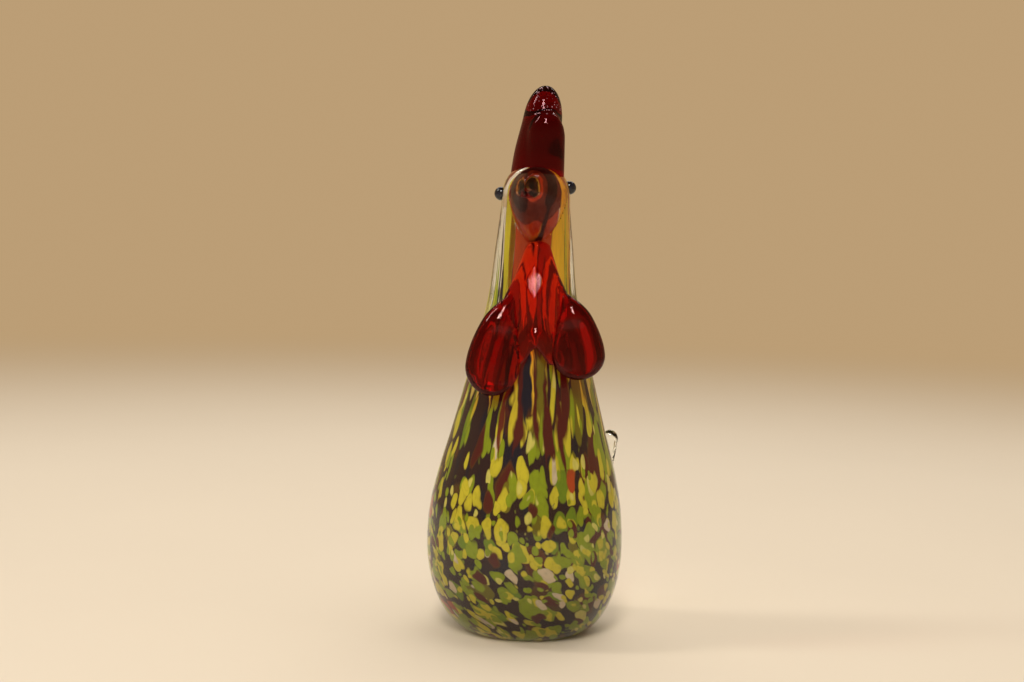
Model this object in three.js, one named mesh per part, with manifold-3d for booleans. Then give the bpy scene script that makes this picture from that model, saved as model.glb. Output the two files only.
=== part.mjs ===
// Hot-worked glass rooster: a cased gather drawn up into neck and head, with glass bits put on it.
// Millimetres, Z up, foot on Z = 0, the beak points to -Y and the tail to +Y.
import * as THREE from 'three';
import Module from 'manifold-3d';
import { mergeVertices } from 'three/addons/utils/BufferGeometryUtils.js';

const wasm = await Module();
wasm.setup();

// Main sizes of the cased gather.
const FOOT_RADIUS = 20.5;
const BELLY_RADIUS = 39.5;
const BELLY_HEIGHT = 36;
const HEAD_RADIUS = 13.8;
const HEAD_HEIGHT = 171;
const DOME_RISE = 16.6;
const COMB_RISE = 32.4;
const HEAD_TOP = HEAD_HEIGHT + DOME_RISE;
const COMB_TOP = HEAD_TOP + COMB_RISE;

// Radius of the gather from the belly up to where the dome of the head begins.
const NECK_PLACES = [0, 0.1185, 0.2222, 0.3333, 0.563, 0.726, 0.8963, 1];
const NECK_HEIGHTS = NECK_PLACES.map((place) => THREE.MathUtils.lerp(BELLY_HEIGHT, HEAD_HEIGHT, place));
const SHOULDER_RADII = [1, 0.972, 0.896, 0.79].map((share) => BELLY_RADIUS * share);
const NECK_RADII = [...SHOULDER_RADII, 23.2, 18.1, 15.4, HEAD_RADIUS];

// The gather bows a little as it is drawn up: [sideways, forward or back] at a few heights.
const SPINE_HEIGHTS = [0, 0.213, 0.453, 0.72, 1].map((share) => HEAD_TOP * share);
const SPINE_OFFSETS = [[0, 0], [-0.8, -1.2], [-0.3, -1.8], [0, 2], [0.2, -2]];

// Exponent of the dome: 2 would be an ellipsoid, more is squarer.
const DOME_FULLNESS = 2.8;

// Thickness of the clear layer over the coloured gather, which shows where the foot is ground flat.
const CASING_WALL = 1.9;
const PONTIL_RADIUS = 14;

// The chips lie just under the clear layer and end at the head. Deeper in, the middle of the gather is
// drawn out with its long streaks, and fills these shares of the neck's radius.
const CHIP_TOP = HEAD_HEIGHT + 0.15 * DOME_RISE;
const DRAWN_FOOT = 0.538 * HEAD_HEIGHT;
const DRAWN_TOP = HEAD_HEIGHT + 0.78 * DOME_RISE;
const DRAWN_PLACES = [0, 0.21, 0.4, 0.61, 0.83, 1];
const DRAWN_HEIGHTS = DRAWN_PLACES.map((place) => THREE.MathUtils.lerp(DRAWN_FOOT, HEAD_TOP, place));
const DRAWN_SHARES = [0.5, 0.56, 0.58, 0.6, 0.66, 0.7];

// Left between bits of glass that are fused on the real figure.
const CLEARANCE = 0.3;

const EYE_RADIUS = 2.75;
const EYE_STANDS_OUT = 0.3;

// Facets around the gather, around a bit, and along it.
const CASING_FACETS = 42;
const CORE_FACETS = 28;
const DRAWN_FACETS = 20;
const DRAWN_STEPS = 14;
const BIT_FACETS = 20;
const BIT_STEPS = 14;

const neckRadius = new THREE.CubicInterpolant(NECK_HEIGHTS, NECK_RADII, 1);
neckRadius.settings = { endingStart: THREE.ZeroSlopeEnding, endingEnd: THREE.ZeroCurvatureEnding };
const spineOffset = new THREE.CubicInterpolant(SPINE_HEIGHTS, SPINE_OFFSETS.flat(), 2);
const drawnShare = new THREE.CubicInterpolant(DRAWN_HEIGHTS, DRAWN_SHARES, 1);

// Radius of the gather anywhere from the belly to the top of the head.
function gatherRadius(height) {
  if (height < HEAD_HEIGHT) {
    return neckRadius.evaluate(height)[0];
  }
  const rise = Math.min((height - HEAD_HEIGHT) / (HEAD_TOP - HEAD_HEIGHT), 1);
  return HEAD_RADIUS * (1 - rise ** DOME_FULLNESS) ** (1 / DOME_FULLNESS);
}

// Point on the axis of the gather, which runs on straight below the foot and above the head.
function axisAt(height) {
  const [x, y] = spineOffset.evaluate(THREE.MathUtils.clamp(height, 0, HEAD_TOP));
  return new THREE.Vector3(x, y, height);
}

// Point on the outside of the gather: angle 0 is the front, and a quarter turn is the figure's left.
function skinAt(height, angle, outward = 0) {
  const radius = gatherRadius(height) + outward;
  const out = new THREE.Vector3(Math.sin(angle) * radius, -Math.cos(angle) * radius, 0);
  return axisAt(height).add(out);
}

// Outline of the gather as [radius, height], from the flat foot up to where the dome begins.
function bodyOutline() {
  const outline = [];
  const lowerSteps = 9;
  for (let i = 0; i <= lowerSteps; i += 1) {
    const angle = (Math.PI / 2) * (i / lowerSteps);
    const radius = FOOT_RADIUS + (BELLY_RADIUS - FOOT_RADIUS) * Math.sin(angle);
    outline.push(new THREE.Vector2(radius, BELLY_HEIGHT * (1 - Math.cos(angle))));
  }
  const neckSteps = 14;
  for (let i = 1; i <= neckSteps; i += 1) {
    const height = THREE.MathUtils.lerp(BELLY_HEIGHT, HEAD_HEIGHT, i / neckSteps);
    outline.push(new THREE.Vector2(gatherRadius(height), height));
  }
  return outline;
}

// Outline of the dome of the head, to just under its top.
function domeOutline() {
  const outline = [];
  const domeSteps = 7;
  for (let i = 1; i < domeSteps; i += 1) {
    const rise = Math.sin((Math.PI / 2) * (i / domeSteps));
    const height = THREE.MathUtils.lerp(HEAD_HEIGHT, HEAD_TOP, rise);
    outline.push(new THREE.Vector2(gatherRadius(height), height));
  }
  return outline;
}

// The same outline moved outward, or inward where the distance is negative.
function offsetOutline(outline, distance) {
  return outline.map((point, i) => {
    const before = outline[Math.max(i - 1, 0)];
    const after = outline[Math.min(i + 1, outline.length - 1)];
    const along = after.clone().sub(before).normalize();
    return new THREE.Vector2(point.x + along.y * distance, point.y - along.x * distance);
  });
}

// Closed solid through rings of points, with a pole at each end.
function loft(firstPole, rings, lastPole) {
  const count = rings[0].length;
  const points = [firstPole, ...rings.flat(), lastPole];
  const last = points.length - 1;
  const index = [];
  for (let j = 0; j < count; j += 1) {
    const next = (j + 1) % count;
    index.push(0, 1 + next, 1 + j);
    for (let i = 0; i < rings.length - 1; i += 1) {
      const low = 1 + i * count;
      const high = low + count;
      index.push(low + j, low + next, high + next);
      index.push(low + j, high + next, high + j);
    }
    index.push(last, last - count + j, last - count + next);
  }
  const geometry = new THREE.BufferGeometry();
  const positions = points.flatMap((point) => [point.x, point.y, point.z]);
  geometry.setAttribute('position', new THREE.Float32BufferAttribute(positions, 3));
  geometry.setIndex(index);
  return toSolid(geometry);
}

function toSolid(geometry) {
  geometry.deleteAttribute('normal');
  geometry.deleteAttribute('uv');
  const merged = mergeVertices(geometry, 1e-5);
  const triangles = [];
  const corners = merged.index.array;
  for (let i = 0; i < corners.length; i += 3) {
    const [a, b, c] = corners.slice(i, i + 3);
    if (a !== b && b !== c && c !== a) {
      triangles.push(a, b, c);
    }
  }
  return new wasm.Manifold(new wasm.Mesh({
    numProp: 3,
    vertProperties: new Float32Array(merged.attributes.position.array),
    triVerts: new Uint32Array(triangles),
  }));
}

// Ring of an outline point around the bowed axis.
function gatherRing(radius, height, facets) {
  return Array.from({ length: facets }, (_, j) => {
    const angle = (2 * Math.PI * j) / facets;
    const out = new THREE.Vector3(Math.cos(angle) * radius, Math.sin(angle) * radius, 0);
    return out.add(axisAt(height));
  });
}

// Outline turned around the bowed axis, with its foot and its top closed at the given heights.
function turned(outline, foot, top, facets) {
  const rings = outline.map(({ x, y }, i) => gatherRing(x, i === 0 ? foot : Math.max(y, foot), facets));
  return loft(axisAt(foot), rings, axisAt(top));
}

// The gather moved outward by a distance, its foot at the given height.
function gather(distance, foot) {
  const outline = offsetOutline([...bodyOutline(), ...domeOutline()], distance);
  return turned(outline, foot, HEAD_TOP + distance, CASING_FACETS);
}

// The gather of chips, or its room in the casing: its stub comes down through the foot.
function chipGather(grow, bottom) {
  const outline = offsetOutline(bodyOutline(), grow - CASING_WALL);
  const body = turned(outline, CASING_WALL - grow, CHIP_TOP + grow, CORE_FACETS);
  const radius = PONTIL_RADIUS + grow;
  const stub = loft(
    new THREE.Vector3(0, 0, bottom),
    [bottom, CASING_WALL * 2].map((height) => gatherRing(radius, height, CORE_FACETS)),
    new THREE.Vector3(0, 0, CASING_WALL * 2),
  );
  return body.add(stub);
}

// The drawn core of the neck, or its room in the glass around it.
function drawnCore(grow) {
  const rings = [];
  for (let i = 1; i < DRAWN_STEPS; i += 1) {
    const t = endsCloser(i / DRAWN_STEPS);
    const height = THREE.MathUtils.lerp(DRAWN_FOOT, DRAWN_TOP, t);
    const radius = gatherRadius(height) * drawnShare.evaluate(height)[0] * rounded(t, 0.05, 0.08);
    rings.push(gatherRing(radius + grow, height, DRAWN_FACETS));
  }
  return loft(axisAt(DRAWN_FOOT - grow), rings, axisAt(DRAWN_TOP + grow));
}

// Even places moved closer together at both ends, where a form is rounded off.
function endsCloser(even) {
  return THREE.MathUtils.lerp(even, 0.5 - 0.5 * Math.cos(Math.PI * even), 0.75);
}

// Full size along most of a bit, rounded off over the given share of each end.
function rounded(t, startShare, endShare) {
  const start = startShare > 0 ? Math.min(t / startShare, 1) : 1;
  const end = endShare > 0 ? Math.min((1 - t) / endShare, 1) : 1;
  return Math.sqrt(1 - (1 - start) ** 2) * Math.sqrt(1 - (1 - end) ** 2);
}

// Size that runs smoothly through shares of its full value, spread evenly along a bit.
function sizes(full, ...shares) {
  const places = shares.map((_, i) => i / (shares.length - 1));
  const between = new THREE.CubicInterpolant(places, shares, 1);
  return (t) => full * between.evaluate(t)[0];
}

// Smooth step from 0 at low to 1 at high, where high may be the lesser.
function eased(low, high, t) {
  const share = THREE.MathUtils.clamp((t - low) / (high - low), 0, 1);
  return share * share * (3 - 2 * share);
}

// Bit of hot glass drawn along a path: width is across it and depth is through it, both as half sizes.
// A pressed bit has only a share of its depth at some places, and a lifted one is pushed up at some.
function bit({
  path, across, width, depth, ends,
  pressed = () => 1, lifted = () => 0, facets = BIT_FACETS, steps = BIT_STEPS,
}) {
  const curve = new THREE.CatmullRomCurve3(path, false, 'centripetal');
  const pole = (t, outward) => {
    const end = curve.getPointAt(t).addScaledVector(curve.getTangentAt(t), outward);
    return end.add(new THREE.Vector3(0, 0, lifted(t, 0)));
  };
  return (grow) => {
    const rings = [];
    for (let i = 1; i < steps; i += 1) {
      const t = endsCloser(i / steps);
      const tangent = curve.getTangentAt(t);
      const through = new THREE.Vector3().crossVectors(tangent, across).normalize();
      const side = new THREE.Vector3().crossVectors(through, tangent).normalize();
      const full = rounded(t, ends[0], ends[1]);
      rings.push(Array.from({ length: facets }, (_, j) => {
        const angle = (2 * Math.PI * j) / facets;
        const halfWidth = width(t) * full + grow;
        const halfDepth = depth(t) * full * pressed(t, angle) + grow;
        return curve.getPointAt(t)
          .addScaledVector(side, Math.cos(angle) * halfWidth)
          .addScaledVector(through, Math.sin(angle) * halfDepth)
          .add(new THREE.Vector3(0, 0, lifted(t, Math.cos(angle) * full)));
      }));
    }
    return loft(pole(0, -grow), rings, pole(1, grow));
  };
}

const SIDEWAYS = new THREE.Vector3(1, 0, 0);

// Beak: wide at the brow, pinched at the throat, and drawn out to a tip a little to the figure's right.
const BEAK_TIP = new THREE.Vector3(-4.6, -36, HEAD_HEIGHT + 7.4);
const BEAK_ROOT_Y = -6;
const BEAK_MIDDLE = 0.9;
const BROW_HEIGHT = HEAD_TOP - 0.4;
const CHEEK_HEIGHT = HEAD_HEIGHT + 4.5;
const THROAT_HEIGHT = HEAD_HEIGHT - 18.6;
const BROW_HALF_WIDTH = 11.7;
const THROAT_PINCH = 0.28;

function beak(grow) {
  const steps = 13;
  const rings = [];
  for (let i = 0; i < steps; i += 1) {
    const t = Math.sin((Math.PI / 2) * (i / steps));
    const fullness = 1 - t ** 1.8;
    const top = THREE.MathUtils.lerp(BEAK_TIP.z, BROW_HEIGHT, Math.sqrt(fullness)) + grow;
    const bottom = THREE.MathUtils.lerp(BEAK_TIP.z, THROAT_HEIGHT, fullness ** 1.5) - grow;
    const middle = THREE.MathUtils.lerp(BEAK_TIP.z, CHEEK_HEIGHT, fullness);
    const halfWidth = BROW_HALF_WIDTH * fullness ** 0.95 + grow;
    const x = THREE.MathUtils.lerp(BEAK_MIDDLE, BEAK_TIP.x, t ** 1.5);
    const y = THREE.MathUtils.lerp(BEAK_ROOT_Y, BEAK_TIP.y, t);
    rings.push(Array.from({ length: BIT_FACETS }, (_, j) => {
      const angle = (2 * Math.PI * j) / BIT_FACETS;
      const rise = Math.sin(angle);
      const pinch = 1 + THROAT_PINCH * Math.min(rise, 0);
      const height = rise < 0 ? middle + rise * (middle - bottom) : middle + rise * (top - middle);
      return new THREE.Vector3(x + Math.cos(angle) * halfWidth * pinch, y, height);
    }));
  }
  const root = new THREE.Vector3(BEAK_MIDDLE, BEAK_ROOT_Y, CHEEK_HEIGHT);
  const tip = BEAK_TIP.clone().add(new THREE.Vector3(0, -0.4 - grow, 0));
  return loft(root, rings, tip);
}

// Comb: lobes pinched up from one thick ridge on the head, the middle one flared to the figure's right.
// Feet and tips are [sideways, back] as shares of the comb's half length, and rise is a share of its own.
const COMB_HALF_WIDTH = 8.6;
const COMB_HALF_LENGTH = 9.2;
const COMB_ROOT = HEAD_TOP - COMB_HALF_LENGTH;
const COMB_LOBES = [
  { foot: [0.33, -0.49], tip: [0.41, -0.7], rise: 0.67, widths: [0.95, 0.92, 0.88, 0.8], long: 0.7 },
  { foot: [-0.1, 0.22], tip: [0.38, 0.27], rise: 1, widths: [1.15, 1.17, 0.93, 0.8], long: 1 },
  { foot: [-0.2, 0.49], tip: [0.25, 1.63], rise: 0.6, widths: [1.05, 0.9, 0.7, 0.55], long: 0.72 },
];

function combPoint(sideways, back, height) {
  return new THREE.Vector3(COMB_HALF_LENGTH * sideways, COMB_HALF_LENGTH * back, height);
}

const combRidge = bit({
  path: [
    combPoint(0.3, -0.87, HEAD_TOP + 0.04 * COMB_HALF_LENGTH),
    combPoint(0.2, 0.11, HEAD_TOP + 0.26 * COMB_HALF_LENGTH),
    combPoint(-0.07, 1.09, HEAD_TOP - 0.33 * COMB_HALF_LENGTH),
  ],
  across: SIDEWAYS,
  width: sizes(COMB_HALF_WIDTH, 0.95, 1.05, 1),
  depth: sizes(COMB_HALF_LENGTH, 0.65, 0.87, 0.76),
  ends: [0.3, 0.25],
  steps: 10,
});

function combLobe({ foot, tip, rise, widths, long }) {
  const start = combPoint(...foot, COMB_ROOT);
  const end = combPoint(...tip, HEAD_TOP + COMB_RISE * rise);
  const knee = start.clone().lerp(end, 1 / 3);
  knee.y = start.y;
  return bit({
    path: [start, knee, end],
    across: SIDEWAYS,
    width: sizes(COMB_HALF_WIDTH, ...widths),
    depth: sizes(COMB_HALF_LENGTH * long, 1.05, 1.05, 0.92, 0.7),
    ends: [0.1, 0.3],
    facets: 18,
    steps: 10,
  });
}

function comb(grow) {
  return COMB_LOBES.reduce((whole, lobe) => whole.add(combLobe(lobe)(grow)), combRidge(grow));
}

// Point in front of the gather's front line at a height.
function inFront(x, outward, height) {
  return skinAt(height, 0, outward).setX(x);
}

// Bib down the throat, whose lower edge is arched between the wattles.
const BIB_TOP = THROAT_HEIGHT + 5.6;
const BIB_DROP = 51;
const BIB_SIDE = 1.4;
const BIB_HALF_WIDTH = 14;
const BIB_HALF_DEPTH = 4.4;
const BIB_ARCH = 10;

// Along the bib: share of the drop, and share of the half depth that its middle stands out.
const BIB_COURSE = [[0, 0.09], [0.2, 0.18], [0.43, 0.27], [0.7, 0.23], [1, 0.14]];

const throatBib = bit({
  path: BIB_COURSE.map(([fall, out]) => inFront(BIB_SIDE, BIB_HALF_DEPTH * out, BIB_TOP - BIB_DROP * fall)),
  across: SIDEWAYS,
  width: sizes(BIB_HALF_WIDTH, 0.3, 0.61, 1, 0.96, 0.64),
  depth: sizes(BIB_HALF_DEPTH, 0.59, 1, 1, 0.59, 0.3),
  ends: [0.04, 0.16],
  lifted: (t, aside) => BIB_ARCH * Math.exp(-((aside / 0.45) ** 2)) * eased(0.55, 1, t),
});

// Wattles: how far below the bib's top each begins, how far it drops, how far to the side it ends, and
// the share of that at which it begins.
const WATTLE_HALF_DEPTH = 5.4;
const WATTLES = {
  wattle_right: { below: 20.5, drop: 39.5, side: -15.6, begins: 0.48, halfWidth: 10.4 },
  wattle_left: { below: 20, drop: 33.2, side: 18.4, begins: 0.65, halfWidth: 10.2 },
};

// Along a wattle: share of the drop, share of the way to the side, and how far it stands out.
const WATTLE_COURSE = [[0, 0, 0.48], [0.3, 0.62, 0.56], [0.61, 0.91, 0.44], [1, 1, 0.16]];

function wattle({ below, drop, side, begins, halfWidth }) {
  // The front is pressed in beside the thick outer rim.
  const pressed = (t, angle) => {
    if (Math.sin(angle) < 0) {
      return 1;
    }
    const across = Math.cos(angle) * Math.sign(side);
    const inward = eased(0.62, 0.18, across + 0.35 * (0.62 - t));
    return 1 - 0.4 * inward * eased(0.3, 0.46, t) * eased(1, 0.9, t);
  };
  return bit({
    path: WATTLE_COURSE.map(([fall, swing, out]) => inFront(
      side * THREE.MathUtils.lerp(begins, 1, swing),
      WATTLE_HALF_DEPTH * out,
      BIB_TOP - below - drop * fall,
    )),
    across: SIDEWAYS,
    width: sizes(halfWidth, 0.29, 0.71, 1, 0.99),
    depth: sizes(WATTLE_HALF_DEPTH, 0.63, 0.89, 1, 0.89),
    ends: [0.34, 0.28],
    pressed,
    facets: 24,
    steps: 14,
  });
}

// Eyes: [height above where the dome begins, share of a turn from the front] of each bead.
const EYES = {
  eye_right: [5.2, -0.25],
  eye_left: [8.2, 0.27],
};

function eye([above, turn]) {
  return (grow) => {
    const centre = skinAt(HEAD_HEIGHT + above, turn * 2 * Math.PI, EYE_STANDS_OUT);
    const bead = new THREE.SphereGeometry(EYE_RADIUS + grow, 14, 10);
    bead.translate(centre.x, centre.y, centre.z);
    return toSolid(bead);
  };
}

// Tail: a gather on the back, and plumes drawn from it that arch over and curl.
const TAIL_HEIGHT = 66;
const TAIL_RADIUS = 17;
const tailBack = (outward, up) => skinAt(TAIL_HEIGHT, Math.PI, outward).setZ(TAIL_HEIGHT + up);

const tailRoot = bit({
  path: [
    tailBack(TAIL_RADIUS * -0.35, TAIL_RADIUS * -0.24),
    tailBack(TAIL_RADIUS * 0.18, 0),
    tailBack(TAIL_RADIUS * 0.65, TAIL_RADIUS * 0.41),
  ],
  across: SIDEWAYS,
  width: sizes(TAIL_RADIUS, 1, 0.88, 0.62),
  depth: sizes(TAIL_RADIUS, 1, 0.82, 0.56),
  ends: [0.1, 0.5],
  facets: 24,
  steps: 10,
});

// Each plume as [sideways, back, up] from the middle of the root, and its half size where it begins.
const PLUMES = {
  tail_plume_high: {
    path: [[-1.5, 4.3, 6], [-2.5, 12.3, 24], [-3.5, 23.3, 38], [-4.5, 35.3, 41], [-5.5, 45.3, 33],
      [-6, 46.3, 21], [-6, 39.3, 15]],
    start: 8.6,
  },
  tail_plume_mid: {
    path: [[7.5, 5.3, 1], [10.5, 17.3, 14], [13.5, 28.3, 22], [16.5, 39.3, 20], [19, 45.3, 11], [19, 42.3, 1],
      [17.5, 35.3, -2]],
    start: 8,
  },
  tail_plume_low: {
    path: [[-9.5, 3.3, -4], [-14.5, 13.3, 3], [-19.5, 24.3, 5], [-23.5, 33.3, -1], [-25, 35.3, -11],
      [-23.5, 29.3, -19], [-21, 22.3, -18]],
    start: 7.8,
  },
  tail_plume_side: {
    path: [[9.5, 2.3, -9], [16.5, 10.3, -16], [24.5, 17.3, -19], [31, 19.3, -13.5], [34.6, 16.8, -3.5],
      [36.6, 12.3, 9.8]],
    start: 8.2,
  },
};

function plume({ path, start }) {
  const points = path.map((point) => new THREE.Vector3(...point).add(tailBack(0, 0)));
  const heading = points.at(-2).clone().sub(points[0]).setZ(0).normalize();
  return bit({
    path: points,
    across: new THREE.Vector3(heading.y, -heading.x, 0),
    width: sizes(start, 1, 0.92, 0.76, 0.56, 0.44),
    depth: sizes(start, 0.9, 0.7, 0.56, 0.44, 0.4),
    ends: [0.05, 0.06],
    facets: 14,
    steps: 18,
  });
}

// In the order that the pieces are put on: each is shaped by all that are there before it.
const PIECES = [
  ['beak', beak],
  ['comb', comb],
  ...Object.entries(WATTLES).map(([name, shape]) => [name, wattle(shape)]),
  ['throat_bib', throatBib],
  ...Object.entries(EYES).map(([name, place]) => [name, eye(place)]),
  ['tail_root', tailRoot],
  ...Object.entries(PLUMES).map(([name, shape]) => [name, plume(shape)]),
];

const CLEAR = { color: 0xdfe3cd, roughness: 0.05, metalness: 0 };
const RUBY = { color: 0x8e0d12, roughness: 0.06, metalness: 0 };
const COLOURS = {
  frit_core: { color: 0x4a3f2a, roughness: 0.3, metalness: 0 },
  drawn_core: { color: 0x7d5a1c, roughness: 0.3, metalness: 0 },
  comb: { color: 0x520a10, roughness: 0.06, metalness: 0 },
  throat_bib: { color: 0xb31217, roughness: 0.06, metalness: 0 },
  wattle_left: RUBY,
  wattle_right: RUBY,
  eye_left: { color: 0x0c0a10, roughness: 0.08, metalness: 0 },
  eye_right: { color: 0x0c0a10, roughness: 0.08, metalness: 0 },
};

const rooster = new THREE.Group();
rooster.name = 'glass_rooster';

function put(name, solid) {
  const mesh = solid.getMesh();
  const geometry = new THREE.BufferGeometry();
  geometry.setAttribute('position', new THREE.Float32BufferAttribute(mesh.vertProperties, 3));
  geometry.setIndex(Array.from(mesh.triVerts));
  geometry.computeVertexNormals();
  const piece = new THREE.Mesh(geometry, new THREE.MeshStandardMaterial(COLOURS[name] ?? CLEAR));
  piece.name = name;
  rooster.add(piece);
}

const drawnRoom = drawnCore(CLEARANCE);
const colouredRoom = chipGather(CLEARANCE, -1).add(drawnRoom);
put('drawn_core', drawnCore(0));
put('frit_core', chipGather(0, 0).subtract(drawnRoom));
put('clear_casing', gather(0, 0).subtract(colouredRoom));

const keepClear = [gather(CLEARANCE, -CLEARANCE)];
for (const [name, shape] of PIECES) {
  const solid = keepClear.reduce((rest, other) => rest.subtract(other), shape(0));
  put(name, solid);
  keepClear.push(shape(CLEARANCE));
}

export default rooster;
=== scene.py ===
"""Glass rooster figurine: a cased gather rolled in colour chips, with bits of hot glass put on it.

Sizes are in millimetres in the classes below and become metres when a mesh is written.
The foot rests on Z = 0, the beak points to -Y, and +X is the figure's left.
"""

import logging
import math
from dataclasses import dataclass, field
from enum import Enum
from typing import Callable, Optional, Sequence, Union

import bmesh
import bpy
import numpy as np
from mathutils import Matrix, Vector
from mathutils.bvhtree import BVHTree

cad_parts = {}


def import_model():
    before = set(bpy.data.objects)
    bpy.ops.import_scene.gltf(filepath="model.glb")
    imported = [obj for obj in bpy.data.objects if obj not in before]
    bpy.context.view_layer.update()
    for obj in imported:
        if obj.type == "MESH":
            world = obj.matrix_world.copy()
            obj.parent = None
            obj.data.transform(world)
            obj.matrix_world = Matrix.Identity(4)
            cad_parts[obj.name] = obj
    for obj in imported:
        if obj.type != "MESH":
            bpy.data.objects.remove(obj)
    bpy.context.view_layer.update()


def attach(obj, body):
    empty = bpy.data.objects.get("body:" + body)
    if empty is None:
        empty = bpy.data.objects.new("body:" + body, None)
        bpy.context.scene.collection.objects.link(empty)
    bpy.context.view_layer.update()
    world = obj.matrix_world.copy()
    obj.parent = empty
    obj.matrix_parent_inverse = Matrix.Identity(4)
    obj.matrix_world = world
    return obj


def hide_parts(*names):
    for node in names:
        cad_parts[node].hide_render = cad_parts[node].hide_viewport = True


LOG = logging.getLogger("glass_rooster")
MM = 0.001
WELDED = "welded"
MERGE_WITHIN = 0.002
SHARP_ANGLE = math.radians(48)
GLASS_IOR = 1.5
Colour = tuple[float, float, float]
Pieces = list[bpy.types.Object]


# Shader tools


class Value:
    """A shader socket that takes part in Python arithmetic."""

    def __init__(self, shading: "Shading", socket: bpy.types.NodeSocket) -> None:
        """Keeps the socket and the material that it belongs to."""
        self.shading = shading
        self.socket = socket

    def math(self, operation: str, *others: "Number", clamp: bool = False) -> "Value":
        """Adds one Math node.

        Args:
            operation: the node's operation.
            others: the second and third operands.
            clamp: whether the result is kept between 0 and 1.

        Returns:
            The node's result.
        """
        operands = dict(enumerate((self, *others)))
        return self.shading.node("ShaderNodeMath", operands, operation=operation, use_clamp=clamp).out()

    def __add__(self, other: "Number") -> "Value":
        """Sum of two values."""
        return self.math("ADD", other)

    __radd__ = __add__

    def __sub__(self, other: "Number") -> "Value":
        """Difference of two values."""
        return self.math("SUBTRACT", other)

    def __rsub__(self, other: float) -> "Value":
        """A number less this value."""
        return self.math("MULTIPLY_ADD", -1.0, other)

    def __mul__(self, other: "Number") -> "Value":
        """Product of two values."""
        return self.math("MULTIPLY", other)

    __rmul__ = __mul__

    def __truediv__(self, other: "Number") -> "Value":
        """Quotient of two values."""
        return self.math("DIVIDE", other)

    def __lt__(self, other: "Number") -> "Value":
        """1 where this value is less than the other."""
        return self.math("LESS_THAN", other)

    def clamped(self) -> "Value":
        """This value kept between 0 and 1."""
        return self.math("ADD", 0.0, clamp=True)

    def step(self, low: float, high: float) -> "Value":
        """Smooth step from 0 at low to 1 at high, where high may be the lesser.

        Args:
            low: where the step is 0.
            high: where the step is 1.

        Returns:
            The step.
        """
        if low < high:
            return self.faded(low, high, 0.0, 1.0)
        return self.faded(high, low, 1.0, 0.0)

    def faded(self, low: float, high: float, start: float, end: float) -> "Value":
        """Smooth fade between two results.

        Args:
            low: where the fade begins.
            high: where the fade ends.
            start: the result up to low.
            end: the result from high on.

        Returns:
            The fade.
        """
        ends = {"From Min": low, "From Max": high, "To Min": start, "To Max": end}
        inputs = {"Value": self, **ends}
        return self.shading.node("ShaderNodeMapRange", inputs, interpolation_type="SMOOTHSTEP").out()


Number = Union[Value, float, int]


class Node:
    """A shader node whose outputs are read as values."""

    def __init__(self, shading: "Shading", node: bpy.types.Node) -> None:
        """Keeps the node and the material that it belongs to."""
        self.shading = shading
        self.node = node

    def out(self, name: Union[str, int] = 0) -> Value:
        """One output of the node."""
        return Value(self.shading, self.node.outputs[name])


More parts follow.
